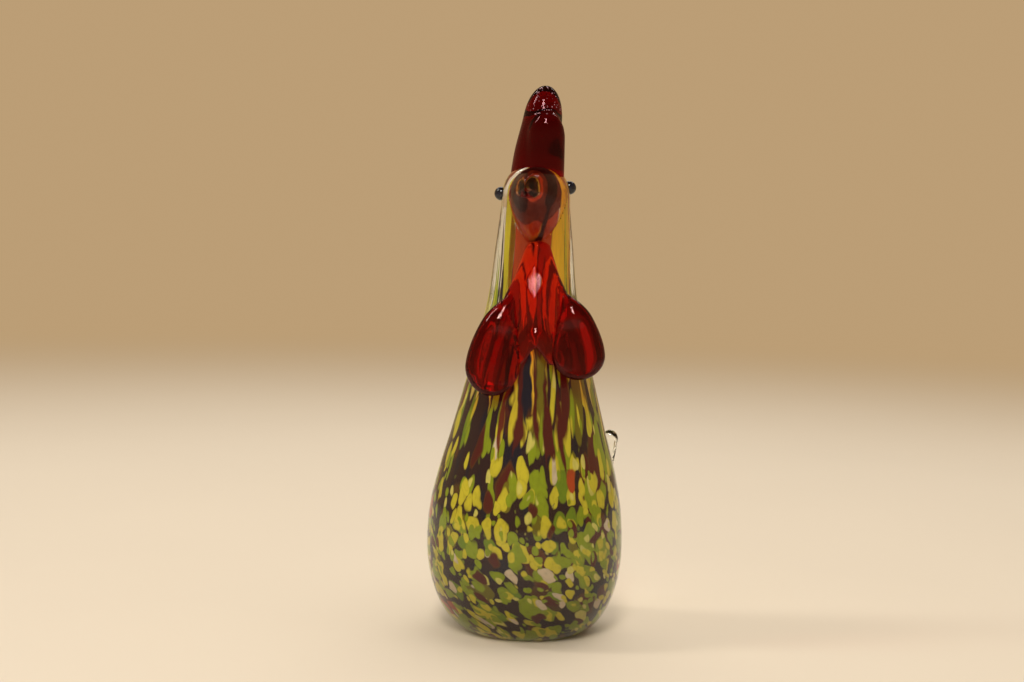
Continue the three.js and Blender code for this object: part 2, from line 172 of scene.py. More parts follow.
class Shading:
    """The node tree of one material, or of the room, while it is built."""

    def __init__(self, owner: Union[str, bpy.types.World]) -> None:
        """Starts an empty node tree.

        Args:
            owner: the name of a new material, or the world that stands for the room.
        """
        self.owner = bpy.data.materials.new(owner) if isinstance(owner, str) else owner
        self.owner.use_nodes = True
        self.tree = self.owner.node_tree
        self.tree.nodes.clear()

    def node(self, kind: str, inputs: Optional[dict] = None, **settings: object) -> Node:
        """Adds a node.

        Args:
            kind: the node's type.
            inputs: values or links of its sockets, by name or number.
            settings: attributes of the node, or a ramp's stops, which are set first.

        Returns:
            The new node.
        """
        node = self.tree.nodes.new(kind)
        for key, setting in settings.items():
            if key == "stops":
                self._ramp(node.color_ramp, setting)
            else:
                setattr(node, key, setting)
        for key, given in (inputs or {}).items():
            if isinstance(given, Value):
                self.tree.links.new(given.socket, node.inputs[key])
            elif isinstance(given, tuple) and len(given) == 3 and node.inputs[key].type == "RGBA":
                node.inputs[key].default_value = (*given, 1.0)
            else:
                node.inputs[key].default_value = given
        return Node(self, node)

    @staticmethod
    def _ramp(ramp: bpy.types.ColorRamp, stops: Sequence[tuple[float, Colour]]) -> None:
        """Sets the stops of a colour ramp, each of which holds up to the next.

        Args:
            ramp: the ramp.
            stops: where each stop lies, from 0 to 1, and its colour.
        """
        ramp.interpolation = "CONSTANT"
        while len(ramp.elements) < len(stops):
            ramp.elements.new(1.0)
        for element, (place, colour) in zip(ramp.elements, stops):
            element.position = place
            element.color = (*colour, 1.0)

    def vector_math(self, operation: str, inputs: dict) -> Node:
        """Adds a Vector Math node."""
        return self.node("ShaderNodeVectorMath", inputs, operation=operation)

    def object_place(self) -> Value:
        """Object coordinates in millimetres."""
        place = self.node("ShaderNodeTexCoord").out("Object")
        return self.vector_math("SCALE", {0: place, "Scale": 1.0 / MM}).out()

    def parts(self, vector: Value) -> tuple[Value, Value, Value]:
        """The three parts of a vector or a colour."""
        split = self.node("ShaderNodeSeparateXYZ", {0: vector})
        return split.out(0), split.out(1), split.out(2)

    def vector(self, x: Number, y: Number, z: Number) -> Value:
        """A vector from its three parts."""
        return self.node("ShaderNodeCombineXYZ", {0: x, 1: y, 2: z}).out()

    def moved(self, vector: Value, by: Union[Value, tuple]) -> Value:
        """A vector with another added to it."""
        return self.vector_math("ADD", {0: vector, 1: by}).out()

    def mix(self, first: Union[Value, Colour], second: Union[Value, Colour], share: Number) -> Value:
        """Mixes two colours.

        Args:
            first: the colour where share is 0.
            second: the colour where share is 1.
            share: how much of the second colour.

        Returns:
            The mixed colour.
        """
        return self.node("ShaderNodeMix", {0: share, 6: first, 7: second}, data_type="RGBA").out(2)

    def noise(self, place: Value, size: float, detail: float = 2.0, colour: bool = False) -> Value:
        """Soft noise.

        Args:
            place: where it is read, in millimetres.
            size: width of its features in millimetres.
            detail: how many finer layers it has.
            colour: whether its three-part output is wanted.

        Returns:
            The noise, about 0.5 on average.
        """
        inputs = {"Vector": place, "Scale": 1.0 / size, "Detail": detail}
        return self.node("ShaderNodeTexNoise", inputs).out(1 if colour else 0)

    def bump(self, height: Value, distance: float) -> Value:
        """Normal bent by a height, where a height of 1 stands for that distance in millimetres."""
        return self.node("ShaderNodeBump", {"Height": height, "Distance": distance * MM}).out()

    def principled(self, inputs: dict) -> Value:
        """The main shader, with values or links of its sockets."""
        return self.node("ShaderNodeBsdfPrincipled", inputs).out()

    def blend(self, share: Number, first: Value, second: Value) -> Value:
        """The first shader where share is 0, and the second where it is 1."""
        return self.node("ShaderNodeMixShader", {0: share, 1: first, 2: second}).out()

    def looked_at(self) -> Value:
        """1 for what the eye sees, plainly, through glass or mirrored, and 0 for what lights the figure."""
        rays = self.node("ShaderNodeLightPath")
        seen = rays.out("Is Camera Ray")
        for kind in ("Is Transmission Ray", "Is Glossy Ray"):
            seen = seen.math("MAXIMUM", rays.out(kind))
        return seen

    def surface(self, shader: Value, volume: Optional[Value] = None) -> bpy.types.Material:
        """Ends the tree.

        Args:
            shader: what the surface shows.
            volume: what fills the inside.

        Returns:
            The finished material.
        """
        inputs = {"Surface": shader}
        if volume is not None:
            inputs["Volume"] = volume
        self.node("ShaderNodeOutputMaterial", inputs)
        return self.owner


# Smooth sizes and paths


class Run:
    """A size that runs smoothly through values at given places."""

    def __init__(self, places: Sequence[float], values: Sequence[float], level_start: bool = False) -> None:
        """Keeps the places and values.

        Args:
            places: where the values are, rising.
            values: the values there.
            level_start: whether the run starts without a slope.
        """
        self.places = list(places)
        self.values = list(values)
        self.level_start = level_start

    def at(self, t: float) -> float:
        """The value at a place, held level past both ends.

        Args:
            t: the place.

        Returns:
            The value there.
        """
        places, values = self.places, self.values
        if t <= places[0]:
            return values[0]
        if t >= places[-1]:
            return values[-1]
        i = max(k for k, place in enumerate(places) if place <= t)
        t0, t1 = places[i], places[i + 1]
        if i > 0:
            t_before, before = places[i - 1], values[i - 1]
        elif self.level_start:
            t_before, before = 2 * t0 - t1, values[1]
        else:
            t_before, before = t1, values[1]
        last = i + 2 >= len(places)
        t_after = t0 if last else places[i + 2]
        after = values[i] if last else values[i + 2]
        half = (t1 - t0) * 0.5
        w0 = half / (t0 - t_before)
        w1 = half / (t_after - t1)
        p = (t - t0) / (t1 - t0)
        p2, p3 = p * p, p * p * p
        return (
            (-w0 * p3 + 2 * w0 * p2 - w0 * p) * before
            + ((1 + w0) * p3 + (-1.5 - 2 * w0) * p2 + (-0.5 + w0) * p + 1) * values[i]
            + ((-1 - w1) * p3 + (1.5 + w1) * p2 + 0.5 * p) * values[i + 1]
            + (w1 * p3 - w1 * p2) * after
        )


def even_run(size: float, *shares: float, less: float = 0.0) -> Run:
    """A run through shares of a size, spread evenly from 0 to 1.

    Args:
        size: the size.
        shares: the share of it at each place.
        less: what is taken off at all of them.

    Returns:
        The run.
    """
    places = [i / (len(shares) - 1) for i in range(len(shares))]
    return Run(places, [size * share - less for share in shares])


class Path:
    """A smooth line through points, read by its length."""

    STEPS = 240
    LOOK_AHEAD = 0.012

    def __init__(self, points: Sequence[Sequence[float]]) -> None:
        """Measures the line through the points.

        Args:
            points: the points, in millimetres.
        """
        self.points = [Vector(point) for point in points]
        raw = [self._raw(i / self.STEPS) for i in range(self.STEPS + 1)]
        lengths = [0.0]
        for before, after in zip(raw, raw[1:]):
            lengths.append(lengths[-1] + (after - before).length)
        self.shares = np.array(lengths) / lengths[-1]
        self.table = np.array(raw)

    def _raw(self, t: float) -> Vector:
        """Point of the centripetal spline, by its own parameter.

        Args:
            t: the parameter, from 0 to 1.

        Returns:
            The point.
        """
        points = self.points
        spot = (len(points) - 1) * t
        i = min(int(spot), len(points) - 2)
        w = spot - i
        p1, p2 = points[i], points[i + 1]
        p0 = points[i - 1] if i > 0 else p1 * 2 - p2
        p3 = points[i + 2] if i + 2 < len(points) else p2 * 2 - p1
        d0, d1, d2 = (max((b - a).length, 1e-4) ** 0.5 for a, b in ((p0, p1), (p1, p2), (p2, p3)))
        m1 = ((p1 - p0) / d0 - (p2 - p0) / (d0 + d1) + (p2 - p1) / d1) * d1
        m2 = ((p2 - p1) / d1 - (p3 - p1) / (d1 + d2) + (p3 - p2) / d2) * d1
        c2 = p1 * -3 + p2 * 3 - m1 * 2 - m2
        c3 = p1 * 2 - p2 * 2 + m1 + m2
        return p1 + m1 * w + c2 * w * w + c3 * w * w * w

    def at(self, share: float) -> Vector:
        """Point at a share of the line's length."""
        return Vector([float(np.interp(share, self.shares, self.table[:, k])) for k in range(3)])

    def along(self, share: float) -> Vector:
        """Direction of the line at a share of its length."""
        low, high = max(share - self.LOOK_AHEAD, 0.0), min(share + self.LOOK_AHEAD, 1.0)
        return (self.at(high) - self.at(low)).normalized()


def rounded(t: float, start: float, end: float) -> float:
    """Full size along most of a bit, rounded off over a share of each end.

    Args:
        t: place along the bit, from 0 to 1.
        start: share that is rounded at the start.
        end: share that is rounded at the end.

    Returns:
        The share of the full size there.
    """
    a = min(t / start, 1.0) if start > 0 else 1.0
    b = min((1.0 - t) / end, 1.0) if end > 0 else 1.0
    return math.sqrt(max(1 - (1 - a) ** 2, 0.0)) * math.sqrt(max(1 - (1 - b) ** 2, 0.0))


def eased(low: float, high: float, t: float) -> float:
    """Smooth step from 0 at low to 1 at high, where high may be the lesser."""
    share = min(max((t - low) / (high - low), 0.0), 1.0)
    return share * share * (3.0 - 2.0 * share)


def closer_at_ends(share: float, even: float) -> float:
    """Moves even steps from 0 to 1 closer together at both ends, but for the share that stays even."""
    return even * share + (1.0 - even) * (0.5 - 0.5 * math.cos(math.pi * share))


# Making pieces


def put_piece(
    name: str,
    shape: bmesh.types.BMesh,
    finish: bpy.types.Material,
    instead_of: Sequence[str] = (),
) -> bpy.types.Object:
    """Writes a shape in millimetres as a piece that rides on the figure.

    Args:
        name: the piece's name.
        shape: its shape, which is freed.
        finish: its material.
        instead_of: CAD nodes that it stands for.

    Returns:
        The new object.
    """
    bmesh.ops.remove_doubles(shape, verts=shape.verts, dist=MERGE_WITHIN)
    bmesh.ops.recalc_face_normals(shape, faces=shape.faces)
    bmesh.ops.scale(shape, verts=shape.verts, vec=(MM, MM, MM))
    mesh = bpy.data.meshes.new(name)
    shape.to_mesh(mesh)
    shape.free()
    mesh.shade_smooth()
    mesh.set_sharp_from_angle(angle=SHARP_ANGLE)
    mesh.materials.append(finish)
    piece = bpy.data.objects.new(name, mesh)
    bpy.context.scene.collection.objects.link(piece)
    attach(piece, "root")
    if instead_of:
        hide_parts(*instead_of)
    LOG.info("%s: %d faces", name, len(mesh.polygons))
    return piece


def ball(around: int, along: int) -> bmesh.types.BMesh:
    """A sphere of radius 1, whose poles become the two ends of a bit.

    Args:
        around: how many faces go round.
        along: how many rows of faces lie from pole to pole.

    Returns:
        The sphere.
    """
    shape = bmesh.new()
    bmesh.ops.create_uvsphere(shape, u_segments=around, v_segments=along, radius=1.0)
    return shape


def laid_out(shape: bmesh.types.BMesh, place: Callable[[float, float], Vector]) -> bmesh.types.BMesh:
    """Moves each point of a ball to its place along and around a bit.

    Args:
        shape: the ball.
        place: gives the point for a share along the bit and an angle around it.

    Returns:
        The same shape.
    """
    for point in shape.verts:
        along = math.acos(max(-1.0, min(1.0, -point.co.z))) / math.pi
        point.co = place(along, math.atan2(point.co.y, point.co.x))
    return shape


def held(shape: bmesh.types.BMesh) -> bpy.types.Object:
    """Puts a shape in an object, so that modifiers can work on it.

    Args:
        shape: the shape, which is freed.

    Returns:
        The object.
    """
    mesh = bpy.data.meshes.new("held")
    shape.to_mesh(mesh)
    shape.free()
    holder = bpy.data.objects.new("held", mesh)
    bpy.context.scene.collection.objects.link(holder)
    return holder


def worked(holders: Sequence[bpy.types.Object]) -> bmesh.types.BMesh:
    """Takes a shape back from the modifiers that worked on it.

    Args:
        holders: the object that holds it, and any others that took part. All are removed.

    Returns:
        The shape as the modifiers left it.
    """
    done = holders[0].evaluated_get(bpy.context.evaluated_depsgraph_get())
    shape = bmesh.new()
    shape.from_mesh(done.to_mesh())
    done.to_mesh_clear()
    for holder in holders:
        mesh = holder.data
        bpy.data.objects.remove(holder)
        bpy.data.meshes.remove(mesh)
    return shape


def fused(shapes: Sequence[bmesh.types.BMesh], voxel: float, smoothing: int) -> bmesh.types.BMesh:
    """Melts several shapes into one smooth skin.

    Args:
        shapes: overlapping closed shapes, which are freed.
        voxel: width of the grid that the skin is made on, in millimetres.
        smoothing: how often the skin is smoothed.

    Returns:
        The skin.
    """
    mesh = bpy.data.meshes.new("melt")
    whole = bmesh.new()
    for shape in shapes:
        bmesh.ops.recalc_face_normals(shape, faces=shape.faces)
        shape.to_mesh(mesh)
        shape.free()
        whole.from_mesh(mesh)
    bpy.data.meshes.remove(mesh)
    melt = held(whole)
    remesh = melt.modifiers.new("skin", "REMESH")
    remesh.mode = "VOXEL"
    remesh.voxel_size = voxel
    soften = melt.modifiers.new("soften", "SMOOTH")
    soften.factor = 0.5
    soften.iterations = smoothing
    return worked([melt])


def cut(shape: bmesh.types.BMesh, cutter: bmesh.types.BMesh) -> bmesh.types.BMesh:
    """Takes one closed shape away from another.

    Args:
        shape: what is cut, which is freed.
        cutter: what is taken away, which is kept.

    Returns:
        What is left.
    """
    for given in (shape, cutter):
        bmesh.ops.recalc_face_normals(given, faces=given.faces)
    holders = [held(shape), held(cutter.copy())]
    taking = holders[0].modifiers.new("seat", "BOOLEAN")
    taking.operation = "DIFFERENCE"
    taking.solver = "EXACT"
    taking.object = holders[1]
    return worked(holders)


def holds(skin: BVHTree, point: Vector) -> bool:
    """Finds out whether a point is inside, by how often a slanting line from it crosses the skin.

    Args:
        skin: the skin.
        point: the point, in metres.

    Returns:
        Whether the point is inside.
    """
    heading = Vector((0.31, 0.52, 0.80)).normalized()
    crossings = 0
    place, *_ = skin.ray_cast(point, heading)
    while place is not None:
        crossings += 1
        place, *_ = skin.ray_cast(place + heading * (MERGE_WITHIN * MM), heading)
    return crossings % 2 == 1


def weld(pieces: Sequence[bpy.types.Object]) -> None:
    """Marks the faces that lie inside another piece, because glass has no skin where it ran together.

    Args:
        pieces: clear pieces that run into each other.
    """
    skins, boxes = [], []
    for piece in pieces:
        shape = bmesh.new()
        shape.from_mesh(piece.data)
        skins.append(BVHTree.FromBMesh(shape))
        shape.free()
        spots = np.array([point.co for point in piece.data.vertices])
        boxes.append((spots.min(axis=0), spots.max(axis=0)))
    for piece in pieces:
        marks = np.zeros(len(piece.data.polygons))
        for i, face in enumerate(piece.data.polygons):
            spot = np.array(face.center)
            for other, skin, (low, high) in zip(pieces, skins, boxes):
                near = other is not piece and bool((spot > low).all() and (spot < high).all())
                if near and holds(skin, face.center):
                    marks[i] = 1.0
                    break
        piece.data.attributes.new(WELDED, "FLOAT", "FACE").data.foreach_set("value", marks)
        LOG.info("%s: %d faces in other glass", piece.name, int(marks.sum()))


# Finishes


@dataclass(frozen=True)
class GlassKind:
    """One kind of glass that light goes through.

    Skin tints what crosses the surface, absorbed and density (per metre) what crosses the inside, and
    through is how much goes through rather than being sent back as colour. Sheen is the strength of
    what the surface mirrors, where 0.5 is plain glass, sheen_tint its colour, and mirrored the share of
    it that is kept at every angle.
    """

    name: str
    skin: Colour
    absorbed: Colour
    density: float
    through: float = 1.0
    sheen: float = 0.5
    sheen_tint: Colour = (1.0, 1.0, 1.0)
    mirrored: float = 1.0


class Glass(Enum):
    """The kinds of see-through glass on the figure."""

    CLEAR = GlassKind("clear_glass", (0.98, 0.985, 0.955), (0.80, 0.78, 0.55), 9.0)
    BEAK = GlassKind(
        "beak_glass", (0.96, 0.76, 0.62), (0.87, 0.44, 0.28), 64.0,
        through=1.0, sheen=0.40, sheen_tint=(1.0, 0.84, 0.76), mirrored=0.36,
    )
    WINE = GlassKind(
        "dark_red_glass", (0.46, 0.003, 0.010), (0.72, 0.02, 0.05), 300.0,
        through=0.93, sheen=0.20, sheen_tint=(1.0, 0.50, 0.56), mirrored=0.42,
    )
    RED = GlassKind(
        "red_glass", (0.66, 0.008, 0.010), (0.80, 0.02, 0.04), 270.0,
        through=0.95, sheen=0.30, sheen_tint=(1.0, 0.60, 0.58), mirrored=0.60,
    )
    BRIGHT = GlassKind(
        "bright_red_glass", (0.90, 0.030, 0.012), (0.90, 0.06, 0.03), 210.0,
        through=0.94, sheen=0.34, sheen_tint=(1.0, 0.60, 0.58), mirrored=0.65,
    )


@dataclass(frozen=True)
class Scatter:
    """Round spots scattered in cells.

    A cell is the room that one spot has, in millimetres. The share of cells that hold a spot, and the
    least and greatest radius as shares of a cell, set how thickly they lie. Softness is the width of
    their edge, and stray how far their middles leave an even grid.
    """

    cell: float
    share: float
    smallest: float
    largest: float
    softness: float = 0.05
    stray: float = 0.78

    def spots(self, shading: Shading, place: Value) -> tuple[Value, Value, Value]:
        """Finds the spots.

        Args:
            shading: the material.
            place: where they are read, in millimetres.

        Returns:
            1 on a spot and 0 beside it, how far out a place lies on it, where 1 is its rim, and a number
            between 0 and 1 that each spot has for its own.
        """
        inputs = {"Vector": place, "Scale": 1.0 / self.cell, "Randomness": self.stray}
        cells = shading.node("ShaderNodeTexVoronoi", inputs)
        chance, girth, kind = shading.parts(cells.out("Color"))
        away = cells.out("Distance")
        radius = girth * (self.largest - self.smallest) + self.smallest
        inside = ((radius - away) / self.softness + 0.5).clamped()
        return inside * (chance < self.share), away / radius, kind


@dataclass(frozen=True)
class Specks:
    """Fine bubbles caught just under the surface within a reach of one place, in millimetres.

    Cover is how opaque each dot is, and full the share of the reach that is full of them. The dots are pale
    and opaque: their colour is a painted glint of the bubbles.
    """

    place: tuple[float, float, float]
    reach: float
    bubbles: Scatter = Scatter(1.05, 0.72, 0.12, 0.32, softness=0.06, stray=1.0)
    # Pale pink of the dots: a painted glint of the bubbles.
    colour: Colour = (0.40, 0.19, 0.22)
    cover: float = 0.8
    full: float = 0.72

    def near(self, shading: Shading, place: Value) -> Value:
        """Finds the place that is full of bubbles.

        Args:
            shading: the material.
            place: where it is read, in millimetres.

        Returns:
            1 where the bubbles are and 0 away from them.
        """
        from_middle = shading.moved(place, tuple(-c for c in self.place))
        away = shading.vector_math("LENGTH", {0: from_middle}).out("Value")
        return away.step(self.reach, self.reach * self.full)

    def over(self, shading: Shading, place: Value, glass: Value) -> Value:
        """Puts the bubbles in the glass.

        Args:
            shading: the material.
            place: where they are read, in millimetres.
            glass: the shader of the glass.

        Returns:
            The shader of the glass with the bubbles in it, as pale opaque dots whose colour is a painted
            glint.
        """
        spots, _, _ = self.bubbles.spots(shading, place)
        shown = spots * self.near(shading, place) * self.cover
        # Painted glint: the bubbles show as pale, matt, opaque dots instead of catching the lamps through
        # the glass.
        bubble_glint = shading.principled(
            {"Base Color": self.colour, "Roughness": 0.45, "Specular IOR Level": 0.25}
        )
        return shading.blend(shown, glass, bubble_glint)


@dataclass(frozen=True)
class PressMark:
    """A flat kite-shaped mark that a tool left on the bulging front of a bit, tilted up.

    Place is its middle, sideways and up, and all but the tilt is in millimetres. How far out a place is,
    where 1 is the mark's edge, gives the soft edges of its form, its dulling and its more worn rim.
    """

    place: tuple[float, float]
    half_width: float
    half_height: float
    tilt: float
    bulge_radius: float
    form_edge: tuple[float, float] = (1.05, 0.93)
    dull_edge: tuple[float, float] = (1.20, 1.05)
    rim_edge: tuple[float, float] = (0.55, 1.15)
    line_edge: tuple[float, float] = (0.60, 0.42)
    least_wear: float = 0.50
    line_wear: float = 0.45
    rim_wear: float = 0.25

    def reach(self, x: Value, z: Value) -> Value:
        """Measures how far out a place is from the mark's middle.

        Args:
            x: how far to the side the place is.
            z: its height.

        Returns:
            How far out it is, which is 1 at the mark's edge.
        """
        across = (x - self.place[0]).math("ABSOLUTE")
        up = (z - self.place[1]).math("ABSOLUTE")
        return across / self.half_width + up / self.half_height

    def height(self, x: Value, z: Value) -> Value:
        """Shapes the flat of the mark.

        Args:
            x: how far to the side a place is.
            z: its height.

        Returns:
            How far the mark stands out there, in millimetres, which is 0 outside it.
        """
        across = x - self.place[0]
        flat = across * across * (0.5 / self.bulge_radius) - (z - self.place[1]) * self.tilt
        return flat * self.reach(x, z).step(*self.form_edge)

    def dulled(self, x: Value, z: Value, drawn: Value) -> Value:
        """Dulls the glass where the tool wore it, along its drawn lines.

        Args:
            x: how far to the side a place is.
            z: its height.
            drawn: the noise that makes the drawn lines.

        Returns:
            How much of the mirroring is left.
        """
        reach = self.reach(x, z)
        worn = drawn.step(*self.line_edge) * self.line_wear + self.least_wear
        rim = reach.step(*self.rim_edge) * self.rim_wear
        return (1.0 - reach.step(*self.dull_edge) * (worn + rim)).clamped()


@dataclass(frozen=True)
class ClearFinish:
    """Smooth glass that light goes through, with the faint ripple and drawn lines of hand-worked glass.

    Ripple and lines are heights, and the sizes are widths, in millimetres. Handled is how much rougher
    fingers have left it in patches, haze how the wisps in it tint it, and haze_ends where they begin and
    are full.
    """

    kind: Glass
    ripple: float = 0.05
    ripple_size: float = 9.0
    lines: float = 0.02
    line_size: float = 1.1
    line_stretch: float = 0.08
    roughness: float = 0.004
    handled: float = 0.02
    handled_size: float = 4.0
    foot_wear: float = 0.12
    foot_height: float = 7.0
    haze: Colour = (0.965, 0.965, 0.965)
    haze_size: float = 14.0
    haze_ends: tuple[float, float] = (0.20, 0.80)
    haze_stretch: float = 0.45
    specks: Optional[Specks] = None
    # How dark the glass is tinted round the specks: a painted shade over the thin top of the comb.
    painted_shade_near_specks: float = 0.40
    marks: tuple[PressMark, ...] = ()
    lamp_share: Colour = (0.93, 0.93, 0.92)

    def material(self) -> bpy.types.Material:
        """Builds the material."""
        kind = self.kind.value
        shading = Shading(kind.name)
        place = shading.object_place()
        x, y, z = shading.parts(place)
        drawn = shading.noise(shading.vector(x, y, z * self.line_stretch), self.line_size)
        height = shading.noise(place, self.ripple_size, 1.0) * self.ripple + drawn * self.lines
        for mark in self.marks:
            height = height + mark.height(x, z)
        wear = shading.noise(place, self.handled_size, 4.0).step(0.5, 0.75)
        rough = wear * self.handled + z.step(self.foot_height, 0.0) * self.foot_wear + self.roughness
        inputs = {"Roughness": rough, "IOR": GLASS_IOR, "Normal": shading.bump(height, 1.0)}
        layers = self._layers(shading, place, shading.vector(x, y * self.haze_stretch, z))
        glass = self._mirroring(shading, layers, inputs)
        if kind.mirrored < 1.0:
            share: Number = kind.mirrored
            for mark in self.marks:
                share = mark.dulled(x, z, drawn) * share
            glass = shading.blend(share, self._unmirrored(shading, layers, inputs), glass)
        if self.specks is not None:
            glass = self.specks.over(shading, place, glass)
        inside = {"Color": kind.absorbed, "Density": kind.density}
        volume = shading.node("ShaderNodeVolumeAbsorption", inside).out()
        return shading.surface(self._opened(shading, glass), volume)

    def _layers(self, shading: Shading, place: Value, stretched: Value) -> list[tuple[Value, Colour]]:
        """The tints that lie over the glass's own.

        Args:
            shading: the material.
            place: where it is read.
            stretched: the same place, in which the wisps of haze are read.

        Returns:
            Where each tint lies, and that tint, from the lowest up; the darker tint near the specks is a
            painted shade.
        """
        skin = self.kind.value.skin
        wisps = shading.noise(stretched, self.haze_size, 3.0).step(*self.haze_ends)
        layers = [(wisps, tuple(own * share for own, share in zip(skin, self.haze)))]
        # Painted shade: the glass is tinted darker round the specks, where the comb's thin top would let
        # light through.
        if self.specks is not None:
            layers.append((self.specks.near(shading, place), tuple(c * self.painted_shade_near_specks for c in skin)))
        return layers

    def _mirroring(self, shading: Shading, layers: list[tuple[Value, Colour]], inputs: dict) -> Value:
        """The glass with its full mirroring.

        Args:
            shading: the material.
            layers: where other tints lie over the glass's own, and those tints.
            inputs: the inputs that all the glass shaders share.

        Returns:
            The shader.
        """
        kind = self.kind.value
        tint: Union[Value, Colour] = kind.skin
        for shown, tone in layers:
            tint = shading.mix(tint, tone, shown)
        own = {
            "Base Color": tint,
            "Transmission Weight": kind.through,
            "Specular IOR Level": kind.sheen,
            "Specular Tint": kind.sheen_tint,
        }
        return shading.principled({**own, **inputs})

    def _unmirrored(self, shading: Shading, layers: list[tuple[Value, Colour]], inputs: dict) -> Value:
        """The glass without its mirroring.

        Args:
            shading: the material.
            layers: where other tints lie over the glass's own, and those tints.
            inputs: the inputs that all the glass shaders share.

        Returns:
            The shader, which lets light through by the root of each tint, as the full shader does.
        """

        def tinted(tone: Colour) -> Value:
            """The shader of one tint."""
            once = tuple(math.sqrt(c) for c in tone)
            return shading.node("ShaderNodeBsdfRefraction", {"Color": once, **inputs}).out()

        plain = tinted(self.kind.value.skin)
        for shown, tone in layers:
            plain = shading.blend(shown, plain, tinted(tone))
        return plain

    def _opened(self, shading: Shading, glass: Value) -> Value:
        """Opens the glass where it ran into other glass, and to the rays that seek a lamp.

        Args:
            shading: the material.
            glass: the shader of the glass.

        Returns:
            The shader of the opened glass.
        """
        welded = shading.node("ShaderNodeAttribute", attribute_name=WELDED).out("Fac")
        lamp_rays = shading.node("ShaderNodeLightPath").out("Is Shadow Ray")
        for where, colour in ((welded, (1.0, 1.0, 1.0)), (lamp_rays, self.lamp_share)):
            opening = shading.node("ShaderNodeBsdfTransparent", {"Color": colour}).out()
            glass = shading.blend(where, glass, opening)
        return glass


class Tone(Enum):
    """Colours of the opaque glass in the gather."""

    AUBERGINE = (0.024, 0.0075, 0.0105)
    NAVY = (0.0075, 0.0065, 0.018)
    MAROON = (0.085, 0.008, 0.006)
    DEEP_MAROON = (0.030, 0.004, 0.0035)
    BROWN_RED = (0.130, 0.020, 0.008)
    BROWN = (0.070, 0.022, 0.008)
    GREEN = (0.250, 0.310, 0.010)
    DEEP_GREEN = (0.150, 0.225, 0.010)
    OLIVE = (0.160, 0.130, 0.008)
    YELLOW = (0.600, 0.500, 0.030)
    PALE_YELLOW = (0.640, 0.560, 0.120)
    CREAM = (0.640, 0.500, 0.340)
    AMBER = (0.860, 0.520, 0.028)
    ORANGE_RED = (0.410, 0.052, 0.010)
    BLACK = (0.006, 0.004, 0.004)


@dataclass(frozen=True)
class Sprinkling:
    """Chips of glass that were picked up together: how they lie, a shift of their own, and their tones,
    each with the share of the chips at which it begins."""

    chips: Scatter
    shift: float
    tones: tuple[tuple[float, Tone], ...]


SPRINKLINGS = (
    Sprinkling(Scatter(13.0, 0.48, 0.34, 0.54, 0.06), 13.0, ((0.0, Tone.MAROON), (0.55, Tone.BROWN))),
    Sprinkling(
        Scatter(8.2, 0.82, 0.34, 0.54),
        3.0,
        ((0.0, Tone.GREEN), (0.55, Tone.DEEP_GREEN), (0.90, Tone.OLIVE)),
    ),
    Sprinkling(
        Scatter(6.4, 0.72, 0.34, 0.53),
        17.0,
        ((0.0, Tone.GREEN), (0.60, Tone.YELLOW), (0.90, Tone.OLIVE)),
    ),
    Sprinkling(
        Scatter(5.4, 0.66, 0.34, 0.52),
        29.0,
        ((0.0, Tone.YELLOW), (0.66, Tone.GREEN), (0.88, Tone.PALE_YELLOW)),
    ),
    Sprinkling(Scatter(7.0, 0.30, 0.26, 0.38, 0.04), 47.0, ((0.0, Tone.CREAM), (0.80, Tone.PALE_YELLOW))),
    Sprinkling(Scatter(4.4, 0.60, 0.30, 0.50, 0.07), 71.0, ((0.0, Tone.YELLOW), (0.50, Tone.GREEN))),
    Sprinkling(Scatter(8.0, 0.34, 0.26, 0.42), 83.0, ((0.0, Tone.MAROON), (0.75, Tone.ORANGE_RED))),
    Sprinkling(Scatter(3.4, 0.36, 0.30, 0.46, 0.08), 97.0, ((0.0, Tone.PALE_YELLOW), (0.35, Tone.GREEN))),
)


@dataclass(frozen=True)
class Streak:
    """One drawn-out chip: its turn from the front and half width in degrees, the heights of its two ends,
    its tone, and how many degrees it drifts for each millimetre up."""

    turn: float
    half: float
    low: float
    high: float
    tone: Tone
    drift: float = 0.0


DRAWN_STREAKS = (
    Streak(0, 44, 88, 180, Tone.BROWN_RED),
    Streak(1, 8, 124, 172, Tone.AMBER),
    Streak(-17, 5, 104, 168, Tone.AMBER),
    Streak(15, 4, 96, 164, Tone.ORANGE_RED),
    Streak(25, 4, 100, 160, Tone.AMBER),
    Streak(-16, 15, 146, 182, Tone.ORANGE_RED),
    Streak(22, 15, 148, 182, Tone.ORANGE_RED),
    Streak(2, 50, 166, 222, Tone.BROWN_RED),
    Streak(3, 3.5, 150, 222, Tone.DEEP_MAROON),
    Streak(3, 22, 170, 222, Tone.DEEP_MAROON),
    Streak(-35, 10, 112, 190, Tone.ORANGE_RED),
    Streak(-68, 9, 112, 212, Tone.YELLOW),
    Streak(-90, 2.2, 100, 172, Tone.BLACK, 0.10),
    Streak(55, 20, 106, 212, Tone.AMBER),
    Streak(80, 5, 108, 180, Tone.YELLOW),
    Streak(120, 38, 108, 212, Tone.AMBER),
    Streak(170, 26, 104, 210, Tone.BROWN_RED),
    Streak(160, 5, 110, 206, Tone.ORANGE_RED),
    Streak(99, 4, 108, 204, Tone.ORANGE_RED),
    Streak(112, 3, 122, 196, Tone.BROWN_RED),
    Streak(133, 7, 104, 204, Tone.YELLOW),
    Streak(104, 3, 96, 140, Tone.OLIVE),
    Streak(124, 4, 96, 156, Tone.MAROON),
    Streak(148, 8, 96, 182, Tone.YELLOW, -0.10),
    Streak(172, 6, 96, 160, Tone.GREEN),
    Streak(-150, 7, 96, 180, Tone.AMBER),
    Streak(-172, 5, 96, 156, Tone.BLACK),
)
